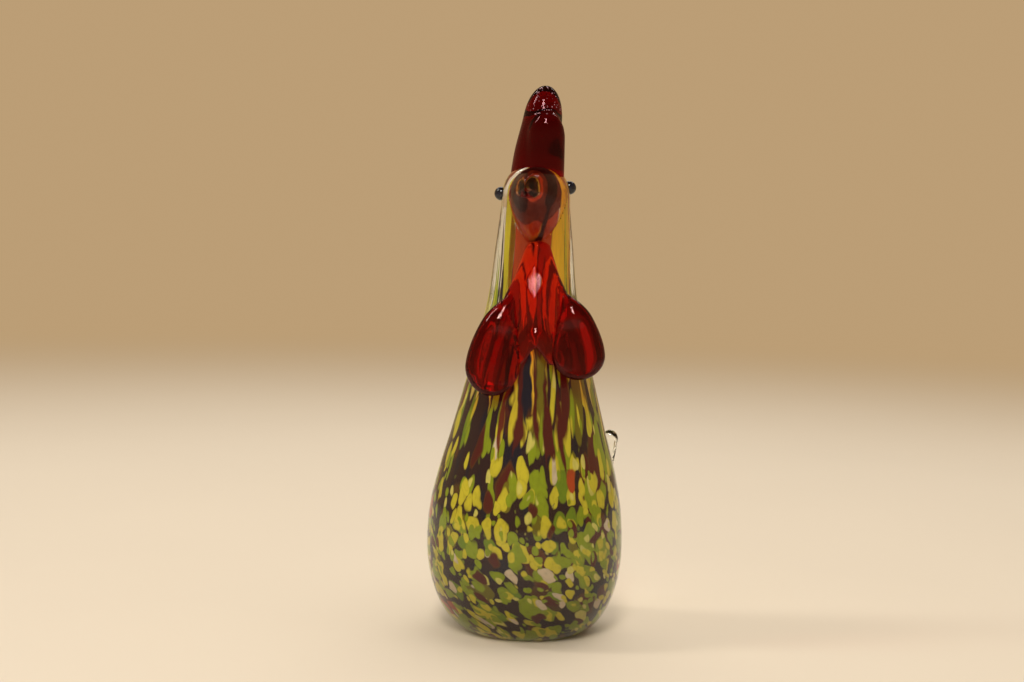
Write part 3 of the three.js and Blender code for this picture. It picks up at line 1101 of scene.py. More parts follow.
THROAT_STREAKS = (
    Streak(0, 15, 88, 134, Tone.BROWN),
    Streak(-9, 3.5, 74, 126, Tone.MAROON, 0.06),
    Streak(-3, 3.0, 84, 122, Tone.NAVY),
    Streak(2, 2.6, 90, 128, Tone.AMBER),
    Streak(6, 2.4, 76, 120, Tone.MAROON, -0.08),
    Streak(10, 2.8, 86, 124, Tone.OLIVE),
    Streak(15, 2.4, 70, 112, Tone.MAROON),
    Streak(-15, 2.0, 88, 124, Tone.YELLOW),
    Streak(-22, 3.0, 72, 108, Tone.BROWN_RED),
    Streak(25, 3.2, 66, 104, Tone.MAROON),
)


class ChipFinish:
    """Opaque chips on a dark ground, drawn out with the gather as it was pulled up.

    At each height of the gather, DRAW_SHARES is how much of the chips' own length a millimetre of it
    holds, and TWISTS how far it was turned, in degrees. The upper edge of the chips falls off above
    EDGE_HEIGHT, less fast at the sides. All other lengths are in millimetres, and SWAY is in degrees.
    """

    DRAW_HEIGHTS = (0.0, 20.0, 38.0, 54.0, 70.0, 88.0, 108.0, 130.0, 160.0, 190.0)
    DRAW_SHARES = (0.92, 0.94, 0.84, 0.63, 0.42, 0.24, 0.13, 0.08, 0.05, 0.04)
    TWISTS = (-34.0, -14.0, 0.0, 3.0, 0.0, -3.0, -4.0, -2.0, 0.0, 0.0)
    FIT_UNIT = 100.0
    LEAST_RADIUS = 9.0
    SHIFTS = (13.0, 7.0, 3.0)
    WARP = 5.2
    WARP_SIZE = 6.0
    GRIME = (0.02, 0.012, 0.008)
    GRIME_SHARE = 0.22
    # How far each chip's rim is mixed towards olive: a painted shade at the chips' edges.
    PAINTED_RIM_SHADE = 0.22
    WANDER_SIZE = 3.6
    WANDER_STRETCH = 0.10
    SWAY = 16.0
    LEAST_WIDTH = 0.55
    RAGGED_WIDTH = 0.9
    LOW_TAPER = 10.0
    HIGH_TAPER = 16.0
    STREAK_SHARPNESS = 0.45
    GRAIN_SIZE = 4.2
    GRAIN_STRETCH = 0.35
    GRAIN_EDGE = (0.16, 0.24)
    EDGE_HEIGHT = 104.0
    EDGE_FALL = 0.0140
    SIDE_FALL = 0.0100

    def __init__(self, gather: "Gather") -> None:
        """Fits how far the chips are drawn to the gather's shape.

        Args:
            gather: the gather that they lie on.
        """
        self.belly_radius = gather.belly_radius
        top = self.DRAW_HEIGHTS[-1]
        heights = np.linspace(0.0, top, int(top) + 1)
        drawn = Run(self.DRAW_HEIGHTS, self.DRAW_SHARES)
        shares = np.array([drawn.at(float(h)) for h in heights])
        lengths = np.concatenate([[0.0], np.cumsum((shares[1:] + shares[:-1]) / 2)])
        radii = [gather.radius(max(float(h), gather.belly_height)) for h in heights]
        widths = np.array([gather.belly_radius / max(radius, self.LEAST_RADIUS) for radius in radii])
        turn = Run(self.DRAW_HEIGHTS, self.TWISTS)
        turns = np.radians([turn.at(float(h)) for h in heights])
        spine = [gather.axis(min(float(h), gather.head_top)) for h in heights]
        scaled = heights / self.FIT_UNIT
        self.length_fit = np.polyfit(scaled, lengths, 6)
        self.width_fit = np.polyfit(scaled, widths, 6)
        self.turn_fit = np.polyfit(scaled, turns, 5)
        self.sideways_fit = np.polyfit(scaled, [point.x for point in spine], 4)
        self.forward_fit = np.polyfit(scaled, [point.y for point in spine], 4)

    @staticmethod
    def _fitted(fit: Sequence[float], height: Value) -> Value:
        """Works out a fitted curve.

        Args:
            fit: the numbers of the curve, from the highest power down.
            height: the height, in hundreds of millimetres.

        Returns:
            The value of the curve there.
        """
        total = height * float(fit[0]) + float(fit[1])
        for number in fit[2:]:
            total = total.math("MULTIPLY_ADD", height, float(number))
        return total

    def undrawn(self, shading: Shading) -> tuple[Value, Value, Value, Value]:
        """Where each point of the skin was before the gather was drawn.

        Args:
            shading: the material.

        Returns:
            That place, and x, y from the bowed axis and the height, all in millimetres.
        """
        place = shading.object_place()
        x, y, z = shading.parts(place)
        height = z * (1.0 / self.FIT_UNIT)
        x = x - self._fitted(self.sideways_fit, height)
        y = y - self._fitted(self.forward_fit, height)
        wide = self._fitted(self.width_fit, height)
        flat = shading.vector(x * wide, y * wide, self._fitted(self.length_fit, height))
        inputs = {"Vector": flat, "Angle": self._fitted(self.turn_fit, height)}
        return shading.node("ShaderNodeVectorRotate", inputs, rotation_type="Z_AXIS").out(), x, y, z

    def _sprinkled(self, shading: Shading, place: Value, under: Value, sprinkling: Sprinkling) -> Value:
        """Lays one sprinkling over a colour.

        Args:
            shading: the material.
            place: where it is read.
            under: the colour below it.
            sprinkling: the chips.

        Returns:
            The colour with the chips on it, each with a painted shade round its rim.
        """
        shifted = shading.moved(place, tuple(sprinkling.shift * share for share in self.SHIFTS))
        shown, out, kind = sprinkling.chips.spots(shading, shifted)
        stops = [(at, tone.value) for at, tone in sprinkling.tones]
        own = shading.node("ShaderNodeValToRGB", {0: kind}, stops=stops).out()
        # Painted shade: a darker olive rim round each chip stands in for the shade at chip edges seen
        # through the casing.
        body = shading.mix(own, Tone.OLIVE.value, out.step(0.70, 1.05) * self.PAINTED_RIM_SHADE)
        return shading.mix(under, body, shown)

    def colour(self, shading: Shading, place: Value) -> Value:
        """All the chips over their ground.

        Args:
            shading: the material.
            place: where they are read, before drawing.

        Returns:
            The colour.
        """
        warp = shading.noise(place, self.WARP_SIZE, 1.0, colour=True)
        centred = {0: warp, 1: (self.WARP,) * 3, 2: (-self.WARP / 2.0,) * 3}
        wavy = shading.moved(place, shading.vector_math("MULTIPLY_ADD", centred).out())
        blotch = shading.noise(place, 9.0).step(0.54, 0.66)
        ground = shading.mix(Tone.AUBERGINE.value, Tone.NAVY.value, blotch)
        for sprinkling in SPRINKLINGS:
            ground = self._sprinkled(shading, wavy, ground, sprinkling)
        return ground

    def finished(self, shading: Shading, place: Value, colour: Value, cover: Value) -> bpy.types.Material:
        """Ends a material of opaque glass that is there only in part.

        Args:
            shading: the material.
            place: where its fine mottling is read.
            colour: its colour.
            cover: 1 where the glass is and 0 where it is clear.

        Returns:
            The material.
        """
        mottled = shading.noise(place, 1.6, 3.0)
        toned = shading.mix(colour, self.GRIME, mottled.step(0.42, 0.85) * self.GRIME_SHARE)
        inputs = {"Base Color": toned, "Roughness": mottled * 0.2 + 0.4, "Specular IOR Level": 0.05}
        return shading.surface(shading.principled({**inputs, "Alpha": cover}))

    def _streaked(
        self,
        shading: Shading,
        spot: tuple[Value, Value, Value],
        streaks: Sequence[Streak],
        colour: Union[Value, Colour],
    ) -> tuple[Value, Number]:
        """Lays drawn-out streaks over a colour.

        Args:
            shading: the material.
            spot: x and y from the bowed axis and the height, in millimetres.
            streaks: the streaks, from the lowest layer up.
            colour: what they are laid over.

        Returns:
            The colour with the streaks on it, and 1 where there is a streak.
        """
        x, y, z = spot
        stretched = shading.vector(x, y, z * self.WANDER_STRETCH)
        sway, ragged, _ = shading.parts(shading.noise(stretched, self.WANDER_SIZE, 1.5, colour=True))
        turn = x.math("ARCTAN2", y * -1.0) * math.degrees(1.0) + (sway - 0.5) * self.SWAY
        cover: Number = 0.0
        for streak in streaks:
            middle = (z - streak.low) * streak.drift + streak.turn
            off = (turn - middle).math("ABSOLUTE")
            width = (ragged * self.RAGGED_WIDTH + self.LEAST_WIDTH) * streak.half
            foot = z.step(streak.low, streak.low + self.LOW_TAPER)
            ends = foot * z.step(streak.high, streak.high - self.HIGH_TAPER)
            inside = ((width * ends - off) * self.STREAK_SHARPNESS + 0.5).clamped()
            shown = inside * ends.step(0.0, 0.06)
            colour = shading.mix(colour, streak.tone.value, shown)
            cover = shown.math("MAXIMUM", cover)
        return colour, cover

    def chip_material(self) -> bpy.types.Material:
        """The chips near the outside, which end in ragged points up the neck.

        Returns:
            The material.
        """
        shading = Shading("chips_in_glass")
        place, x, y, z = self.undrawn(shading)
        px, py, pz = shading.parts(place)
        grain = shading.noise(shading.vector(px, py, pz * self.GRAIN_STRETCH), self.GRAIN_SIZE, 1.5)
        aside = (px.math("ABSOLUTE") / self.belly_radius).math("POWER", 4.0)
        fall = self.EDGE_FALL - aside * self.SIDE_FALL
        cover = (grain - (z - self.EDGE_HEIGHT) * fall).step(*self.GRAIN_EDGE)
        colour, _ = self._streaked(shading, (x, y, z), THROAT_STREAKS, self.colour(shading, place))
        return self.finished(shading, place, colour, cover)

    def streak_material(self) -> bpy.types.Material:
        """The chips on the drawn core of the neck, pulled out into long streaks.

        Returns:
            The material.
        """
        shading = Shading("streaks_in_glass")
        place, x, y, z = self.undrawn(shading)
        colour, cover = self._streaked(shading, (x, y, z), DRAWN_STREAKS, Tone.BROWN.value)
        return self.finished(shading, place, colour, cover)


@dataclass(frozen=True)
class BeadFinish:
    """Black glass of the eyes, with a blue cast and fine wear."""

    def material(self) -> bpy.types.Material:
        """Builds the material."""
        shading = Shading("black_glass")
        place = shading.object_place()
        cast = shading.noise(place, 2.2)
        colour = shading.mix((0.004, 0.004, 0.006), (0.010, 0.012, 0.028), cast.step(0.4, 0.7))
        rough = shading.noise(place, 1.0, 4.0) * 0.05 + 0.03
        inputs = {"Base Color": colour, "Roughness": rough, "IOR": GLASS_IOR}
        return shading.surface(shading.principled({**inputs, "Normal": shading.bump(cast, 0.06)}))


@dataclass(frozen=True)
class FloorFinish:
    """Matt paint of the floor, which fades into the room's colour with distance."""

    colour: Colour
    room: Colour
    near: float = 420.0
    far: float = 1500.0

    def material(self) -> bpy.types.Material:
        """Builds the material."""
        shading = Shading("pale_floor")
        place = shading.object_place()
        x, y, _ = shading.parts(place)
        cloudy = shading.noise(place, 160.0, 3.0)
        tint = shading.mix(self.colour, tuple(c * 0.96 for c in self.colour), cloudy)
        paint = shading.principled({"Base Color": tint, "Roughness": 0.75, "Specular IOR Level": 0.25})
        glow = shading.node("ShaderNodeEmission", {"Color": self.room, "Strength": 1.0}).out()
        away = (x * x + y * y).math("SQRT").step(self.near, self.far)
        return shading.surface(shading.blend(shading.looked_at() * away, paint, glow))


# The figure


@dataclass
class Gather:
    """The cased gather: clear glass outside, a skin of chips under it, and drawn streaks in the neck."""

    foot_radius: float = 20.5
    belly_radius: float = 39.5
    belly_height: float = 36.0
    head_height: float = 171.0
    head_top: float = 187.6
    dome_fullness: float = 2.8
    casing_wall: float = 1.9
    pontil_radius: float = 14.0
    chip_top: float = 173.5
    drawn_foot: float = 92.0
    drawn_top: float = 184.0
    drawn_heights: tuple[float, ...] = (92.0, 112.0, 130.0, 150.0, 171.0, 188.0)
    drawn_shares: tuple[float, ...] = (0.50, 0.56, 0.58, 0.60, 0.66, 0.70)
    neck_heights: tuple[float, ...] = (36.0, 52.0, 66.0, 81.0, 112.0, 134.0, 157.0, 171.0)
    neck_radii: tuple[float, ...] = (39.5, 38.4, 35.4, 31.2, 23.2, 18.1, 15.4, 13.8)
    spine_heights: tuple[float, ...] = (0.0, 40.0, 85.0, 135.0, 187.6)
    spine_sideways: tuple[float, ...] = (0.0, -0.8, -0.3, 0.0, 0.2)
    spine_forward: tuple[float, ...] = (0.0, -1.2, -1.8, 2.0, -2.0)

    def __post_init__(self) -> None:
        """Makes the smooth runs of its sizes."""
        self._neck = Run(self.neck_heights, self.neck_radii, level_start=True)
        self._sideways = Run(self.spine_heights, self.spine_sideways)
        self._forward = Run(self.spine_heights, self.spine_forward)
        self._drawn = Run(self.drawn_heights, self.drawn_shares)

    def radius(self, height: float) -> float:
        """Measures the outside.

        Args:
            height: the height, in millimetres.

        Returns:
            The radius there.
        """
        if height < self.belly_height:
            fall = 1.0 - max(height, 0.0) / self.belly_height
            return self.foot_radius + (self.belly_radius - self.foot_radius) * math.sqrt(1.0 - fall * fall)
        if height < self.head_height:
            return self._neck.at(height)
        rise = min((height - self.head_height) / (self.head_top - self.head_height), 1.0)
        return self.neck_radii[-1] * (1.0 - rise ** self.dome_fullness) ** (1.0 / self.dome_fullness)

    def axis(self, height: float) -> Vector:
        """Point of the bowed axis at a height."""
        return Vector((self._sideways.at(height), self._forward.at(height), height))

    def skin(self, height: float, turn: float, outward: float = 0.0) -> Vector:
        """Finds a point on the outside.

        Args:
            height: the height, in millimetres.
            turn: the angle from the front towards the figure's left.
            outward: how far outside it lies.

        Returns:
            The point.
        """
        reach = self.radius(height) + outward
        return self.axis(height) + Vector((math.sin(turn) * reach, -math.cos(turn) * reach, 0.0))

    def turned(self, outline: Sequence[tuple[float, float]], around: int) -> bmesh.types.BMesh:
        """Spins an outline and bows it.

        Args:
            outline: radius and height of each point, whose ends lie on the axis.
            around: how many faces go round.

        Returns:
            The closed shape.
        """
        shape = bmesh.new()
        points = [shape.verts.new((radius, 0.0, height)) for radius, height in outline]
        edges = [shape.edges.new(pair) for pair in zip(points, points[1:])]
        bmesh.ops.spin(
            shape, geom=points + edges, cent=(0, 0, 0), axis=(0, 0, 1),
            angle=2 * math.pi, steps=around, use_merge=True,
        )
        bmesh.ops.remove_doubles(shape, verts=shape.verts, dist=MERGE_WITHIN / 2.0)
        for point in shape.verts:
            bow = self.axis(min(max(point.co.z, 0.0), self.head_top))
            point.co.x += bow.x
            point.co.y += bow.y
        return shape

    def _belly(self, first: int, inset: float = 0.0, steps: int = 30) -> list[tuple[float, float]]:
        """Outline from the foot up to the widest place.

        Args:
            first: the first step that is wanted.
            inset: how far inside the outside it lies.
            steps: how many steps there are.

        Returns:
            Radius and height of each point.
        """
        outline = []
        for i in range(first, steps):
            angle = math.pi / 2 * i / steps
            reach = self.foot_radius - inset + (self.belly_radius - self.foot_radius) * math.sin(angle)
            outline.append((reach, inset + (self.belly_height - inset) * (1.0 - math.cos(angle))))
        return outline

    def _dome(self, steps: int) -> list[float]:
        """Divides the round of the head, closer together towards its top.

        Args:
            steps: how many steps there are.

        Returns:
            The heights.
        """
        rise = self.head_top - self.head_height
        return [self.head_height + rise * math.sin(math.pi / 2 * i / steps) for i in range(1, steps)]

    @staticmethod
    def _rings(low: float, high: float, steps: int) -> list[float]:
        """Heights for rings, closer together where the outline turns."""
        return [low + (high - low) * closer_at_ends(i / steps, 0.45) for i in range(steps + 1)]

    def casing_shape(self) -> bmesh.types.BMesh:
        """The outside of the clear glass, solid down to the ground foot."""
        outline = [(0.0, 0.0), (self.foot_radius * 0.5, 0.0), (self.foot_radius - 0.5, 0.0)]
        outline += self._belly(1)
        heights = [float(height) for height in np.linspace(self.belly_height, self.head_height, 130)]
        outline += [(self.radius(height), height) for height in heights + self._dome(24)]
        return self.turned(outline + [(0.0, self.head_top)], 176)

    def seat(self, depth: float = 0.35, below: float = 2.0) -> bmesh.types.BMesh:
        """What bits are cut by: the outside moved in by a little, so that glass meets glass.

        Args:
            depth: how far it is moved in.
            below: how far it reaches down past the foot.

        Returns:
            The closed shape.
        """
        outline = [(0.0, -below), (self.foot_radius, -below)]
        for height in np.linspace(0.0, self.head_height, 120):
            outline.append((self.radius(float(height)) - depth, float(height)))
        steps = 20
        for i, height in enumerate(self._dome(steps), 1):
            outline.append((max(self.radius(height) - depth, 0.5), height - depth * i / steps))
        return self.turned(outline + [(0.0, self.head_top - depth)], 128)

    def chip_shape(self) -> bmesh.types.BMesh:
        """The coloured gather just under the outside, with its stub down to the ground foot."""
        wall, stub = self.casing_wall, 0.3
        outline = [(0.0, stub), (self.pontil_radius, stub), (self.pontil_radius + 0.2, wall - 0.2)]
        outline += self._belly(0, wall)
        for height in self._rings(self.belly_height, self.chip_top, 110):
            share = (height - self.belly_height) / (self.chip_top - self.belly_height)
            near_top = rounded(share, 0.0, 0.05)
            outline.append(((self.radius(height) - wall) * max(near_top, 0.02), height))
        return self.turned(outline + [(0.0, self.chip_top)], 160)

    def streak_shape(self) -> bmesh.types.BMesh:
        """The drawn core of the neck and head that carries the streaks."""
        low, high = self.drawn_foot, self.drawn_top
        outline = [(0.0, low)]
        for height in self._rings(low + 0.5, high - 0.1, 90):
            close = rounded((height - low) / (high - low), 0.05, 0.08)
            outline.append((self.radius(height) * self._drawn.at(height) * close, height))
        return self.turned(outline + [(0.0, high)], 112)

    def build(self, clear: bpy.types.Material) -> Pieces:
        """Makes the casing, the chips and the drawn streaks.

        Args:
            clear: the casing's glass.

        Returns:
            The casing, because the other two are opaque.
        """
        finish = ChipFinish(self)
        put_piece("chip_gather", self.chip_shape(), finish.chip_material(), ["frit_core"])
        put_piece("neck_streaks", self.streak_shape(), finish.streak_material(), ["drawn_core"])
        return [put_piece("casing", self.casing_shape(), clear, ["clear_casing"])]


@dataclass
class Bit:
    """A bit of hot glass drawn along a path.

    Width is across it and depth through it, as half sizes, and ends are the shares of it that are
    rounded off. Face gives the share of the depth that is left, and lift how far up a place is moved.
    """

    path: Sequence[Sequence[float]]
    width: Run
    depth: Run
    ends: tuple[float, float]
    across: Vector = field(default_factory=lambda: Vector((1.0, 0.0, 0.0)))
    around: int = 48
    along: int = 44
    face: Optional[Callable[[float, float], float]] = None
    lift: Optional[Callable[[float, float], float]] = None

    def shape(self) -> bmesh.types.BMesh:
        """The closed shape of the bit."""
        line = Path(self.path)

        def place(even: float, angle: float) -> Vector:
            """Finds a point of the skin.

            Args:
                even: share of the steps along the bit.
                angle: the angle around it.

            Returns:
                The point.
            """
            spot = closer_at_ends(even, 0.25)
            centre, heading = line.at(spot), line.along(spot)
            through = heading.cross(self.across).normalized()
            side = through.cross(heading).normalized()
            full = rounded(spot, *self.ends)
            pressed = self.face(spot, angle) if self.face else 1.0
            if self.lift:
                centre = centre + Vector((0.0, 0.0, self.lift(spot, math.cos(angle) * full)))
            out = side * (math.cos(angle) * self.width.at(spot) * full)
            return centre + out + through * (math.sin(angle) * self.depth.at(spot) * full * pressed)

        return laid_out(ball(self.around, self.along), place)


@dataclass
class Beak:
    """Clear bit on the front of the head: wide brow, pinched throat, drawn out to the tip.

    The bends are the powers by which the brow, the throat, the sides and the lean come in to the tip, and
    root_share is the share of the steps along it that close its root.
    """

    tip: Vector = field(default_factory=lambda: Vector((-4.6, -36.0, 178.4)))
    root_y: float = -6.0
    middle: float = 0.9
    brow_height: float = 187.2
    cheek_height: float = 175.5
    throat_height: float = 152.4
    brow_half_width: float = 11.7
    throat_pinch: float = 0.28
    root_share: float = 0.2
    fullness: float = 1.8
    brow_bend: float = 0.5
    throat_bend: float = 1.5
    side_bend: float = 0.95
    lean_bend: float = 1.5

    def _place(self, along: float, angle: float) -> Vector:
        """Point of the skin.

        Args:
            along: share from the root to the tip.
            angle: the angle around the beak.

        Returns:
            The point.
        """
        tip = self.tip
        t = math.sin(math.pi / 2 * max((along - self.root_share) / (1.0 - self.root_share), 0.0))
        inner = min(along / self.root_share, 1.0)
        full = 1.0 - t ** self.fullness
        top = tip.z + (self.brow_height - tip.z) * full ** self.brow_bend
        bottom = tip.z + (self.throat_height - tip.z) * full ** self.throat_bend
        middle = tip.z + (self.cheek_height - tip.z) * full
        half = self.brow_half_width * full ** self.side_bend
        rise = math.sin(angle) * inner
        pinch = 1.0 + self.throat_pinch * min(math.sin(angle), 0.0)
        height = middle + rise * ((top - middle) if rise > 0 else (middle - bottom))
        x = self.middle + (tip.x - self.middle) * t ** self.lean_bend
        y = self.root_y + (tip.y - self.root_y) * t
        return Vector((x + math.cos(angle) * half * pinch * inner, y, height))

    def build(self, seat: bmesh.types.BMesh, finish: bpy.types.Material) -> Pieces:
        """Makes the beak.

        Args:
            seat: what it is cut by.
            finish: its glass.

        Returns:
            The beak.
        """
        shape = cut(laid_out(ball(72, 80), self._place), seat)
        return [put_piece("beak_bit", shape, finish, ["beak"])]


@dataclass(frozen=True)
class Lobe:
    """One lobe of the comb: foot and tip, [sideways, back], as shares of the comb's half length, how far
    it rises, its widths along it, and its own length, as shares of the comb's."""

    foot: tuple[float, float]
    tip: tuple[float, float]
    rise: float
    widths: tuple[float, ...]
    long: float


@dataclass
class Comb:
    """Thick wine-red bit pinched up into lobes, with a cluster of bubbles caught in its top."""

    head_top: float = 187.6
    rise: float = 32.4
    half_width: float = 8.6
    half_length: float = 9.2
    voxel: float = 0.55
    smoothing: int = 48
    lobes: tuple[Lobe, ...] = (
        Lobe((0.33, -0.42), (0.41, -0.60), 0.67, (0.95, 0.92, 0.88, 0.80), 0.70),
        Lobe((-0.10, 0.22), (0.38, 0.27), 1.0, (1.17, 1.12, 0.92, 0.83), 1.0),
        Lobe((-0.20, 0.49), (0.25, 1.63), 0.6, (1.05, 0.90, 0.70, 0.55), 0.72),
    )

    def point(self, sideways: float, back: float, height: float) -> Vector:
        """Point from shares of the half length and a height."""
        return Vector((self.half_length * sideways, self.half_length * back, height))

    def lobe(self, lobe: Lobe) -> Bit:
        """Draws one lobe, from its root in the head to its tip.

        Args:
            lobe: its shares.

        Returns:
            The lobe.
        """
        start = self.point(*lobe.foot, self.head_top - self.half_length)
        end = self.point(*lobe.tip, self.head_top + self.rise * lobe.rise)
        knee = start.lerp(end, 1.0 / 3.0)
        knee.y = start.y
        width = even_run(self.half_width, *lobe.widths)
        depth = even_run(self.half_length * lobe.long, 1.05, 1.05, 0.92, 0.7)
        return Bit([start, knee, end], width, depth, (0.1, 0.3))

    def ridge(self) -> Bit:
        """The thick ridge that joins the lobes."""
        course = ((0.3, -0.87, 0.04), (0.2, 0.11, 0.26), (-0.07, 1.09, -0.33))
        path = [self.point(x, y, self.head_top + up * self.half_length) for x, y, up in course]
        width = even_run(self.half_width, 0.95, 1.05, 1.0)
        depth = even_run(self.half_length, 0.65, 0.87, 0.76)
        return Bit(path, width, depth, (0.3, 0.25))

    def build(self, seat: bmesh.types.BMesh, wine: bpy.types.Material) -> Pieces:
        """Makes the comb.

        Args:
            seat: what it is cut by.
            wine: its glass.

        Returns:
            The comb.
        """
        shapes = [self.lobe(lobe).shape() for lobe in self.lobes] + [self.ridge().shape()]
        skin = cut(fused(shapes, self.voxel, self.smoothing), seat)
        return [put_piece("comb_bit", skin, wine, ["comb"])]


@dataclass(frozen=True)
class Hanging:
    """How one wattle hangs: how far under the bib's top it begins, how far it drops, how far to the side
    it ends, the share of that at which it begins, and its half width."""

    below: float
    drop: float
    side: float
    begins: float
    half_width: float


@dataclass
class Wattles:
    """Bright red bit down the throat, arched at its lower edge, and two thick lobes put on over it.

    Each lobe's front is pressed in by a share of its depth beside its thick outer rim. A course gives
    the share of the drop, of the swing to the side where there is one, and of the half depth in front of
    the gather.
    """

    right: Hanging = Hanging(20.5, 39.5, -15.6, 0.48, 10.4)
    left: Hanging = Hanging(20.0, 33.2, 18.4, 0.65, 10.2)
    lobe_half_depth: float = 5.4
    lobe_course: tuple = ((0.0, 0.0, 0.48), (0.3, 0.62, 0.56), (0.61, 0.91, 0.44), (1.0, 1.0, 0.16))
    bib_top: float = 158.0
    bib_drop: float = 51.0
    bib_side: float = 1.4
    bib_half_width: float = 14.0
    bib_half_depth: float = 4.4
    bib_arch: float = 10.0
    arch_width: float = 0.45
    let_in: float = 0.3
    press: float = 0.40
    press_slant: float = 0.35
    press_edge: tuple[float, float] = (0.62, 0.18)
    bib_course: tuple = ((0.0, 0.09), (0.2, 0.18), (0.43, 0.27), (0.7, 0.23), (1.0, 0.14))

    @staticmethod
    def _in_front(gather: Gather, x: float, outward: float, height: float) -> Vector:
        """Finds a point in front of the gather.

        Args:
            gather: the gather.
            x: how far to the side the point is.
            outward: how far it stands out from the gather's front line.
            height: its height.

        Returns:
            The point.
        """
        point = gather.skin(height, 0.0, outward)
        return Vector((x, point.y, point.z))

    def _pressed(self, outer: float) -> Callable[[float, float], float]:
        """Depth of a lobe's front, pressed in beside its thick outer rim.

        Args:
            outer: 1 if the outer side is towards +X, else -1.

        Returns:
            A function of the share along the lobe and the angle around it.
        """

        def depth(t: float, angle: float) -> float:
            """Presses in one place.

            Args:
                t: share along the lobe.
                angle: the angle around it.

            Returns:
                The share of the full depth that is left.
            """
            if math.sin(angle) < 0.0:
                return 1.0
            across = math.cos(angle) * outer
            inward = eased(*self.press_edge, across + self.press_slant * (self.press_edge[0] - t))
            return 1.0 - self.press * inward * eased(0.30, 0.46, t) * eased(1.0, 0.90, t)

        return depth

    def _arch(self, t: float, aside: float) -> float:
        """How far the bib's lower edge rises between the lobes, in millimetres."""
        return self.bib_arch * math.exp(-((aside / self.arch_width) ** 2)) * eased(0.55, 1.0, t)

    def lobe(self, gather: Gather, hanging: Hanging, thinner: float = 0.0) -> Bit:
        """One lobe.

        Args:
            gather: what it lies in front of.
            hanging: how it hangs.
            thinner: how much is taken off its half sizes.

        Returns:
            The lobe.
        """
        path = []
        for fall, swing, out in self.lobe_course:
            x = hanging.side * (hanging.begins + (1.0 - hanging.begins) * swing)
            height = self.bib_top - hanging.below - hanging.drop * fall
            path.append(self._in_front(gather, x, self.lobe_half_depth * out, height))
        width = even_run(hanging.half_width, 0.29, 0.71, 1.0, 0.99, less=thinner)
        depth = even_run(self.lobe_half_depth, 0.63, 0.89, 1.0, 0.89, less=thinner)
        outer = math.copysign(1.0, hanging.side)
        return Bit(path, width, depth, (0.34, 0.28), face=self._pressed(outer), around=88, along=80)

    def bib(self, gather: Gather) -> Bit:
        """Draws the bib down the throat.

        Args:
            gather: what it lies in front of.

        Returns:
            The bib.
        """
        path = []
        for fall, out in self.bib_course:
            height = self.bib_top - self.bib_drop * fall
            path.append(self._in_front(gather, self.bib_side, self.bib_half_depth * out, height))
        width = even_run(self.bib_half_width, 0.3, 0.61, 1.0, 0.96, 0.64)
        depth = even_run(self.bib_half_depth, 0.59, 1.0, 1.0, 0.59, 0.3)
        return Bit(path, width, depth, (0.04, 0.16), lift=self._arch, around=88, along=80)

    def build(
        self,
        gather: Gather,
        seat: bmesh.types.BMesh,
        red: bpy.types.Material,
        bright: bpy.types.Material,
    ) -> Pieces:
        """Makes both lobes and the bib that they are put on over.

        Args:
            gather: what they lie in front of.
            seat: what they are cut by.
            red: the lobes' glass.
            bright: the bib's glass.

        Returns:
            The lobes and the bib.
        """
        bib = self.bib(gather).shape()
        pieces = []
        hung = ((self.right, "lobe_right", "wattle_right"), (self.left, "lobe_left", "wattle_left"))
        for hanging, name, node in hung:
            inner = self.lobe(gather, hanging, self.let_in).shape()
            bib = cut(bib, inner)
            inner.free()
            lobe = cut(self.lobe(gather, hanging).shape(), seat)
            pieces.append(put_piece(name, lobe, red, [node]))
        pieces.append(put_piece("bib", cut(bib, seat), bright, ["throat_bib"]))
        return pieces


@dataclass
class Eyes:
    """Black glass beads on the sides of the head, placed by height and turn from the front."""

    radius: float = 2.75
    stands_out: float = 0.3
    places: tuple = (("bead_right", "eye_right", 176.2, -0.25), ("bead_left", "eye_left", 179.2, 0.27))

    def build(self, gather: Gather, black: bpy.types.Material) -> None:
        """Makes both beads.

        Args:
            gather: what they sit on.
            black: their glass.
        """
        for name, node, height, turn in self.places:
            centre = gather.skin(height, turn * 2 * math.pi, self.stands_out)
            shape = ball(32, 24)
            bmesh.ops.scale(shape, verts=shape.verts, vec=(self.radius,) * 3)
            bmesh.ops.translate(shape, verts=shape.verts, vec=centre)
            put_piece(name, shape, black, [node])


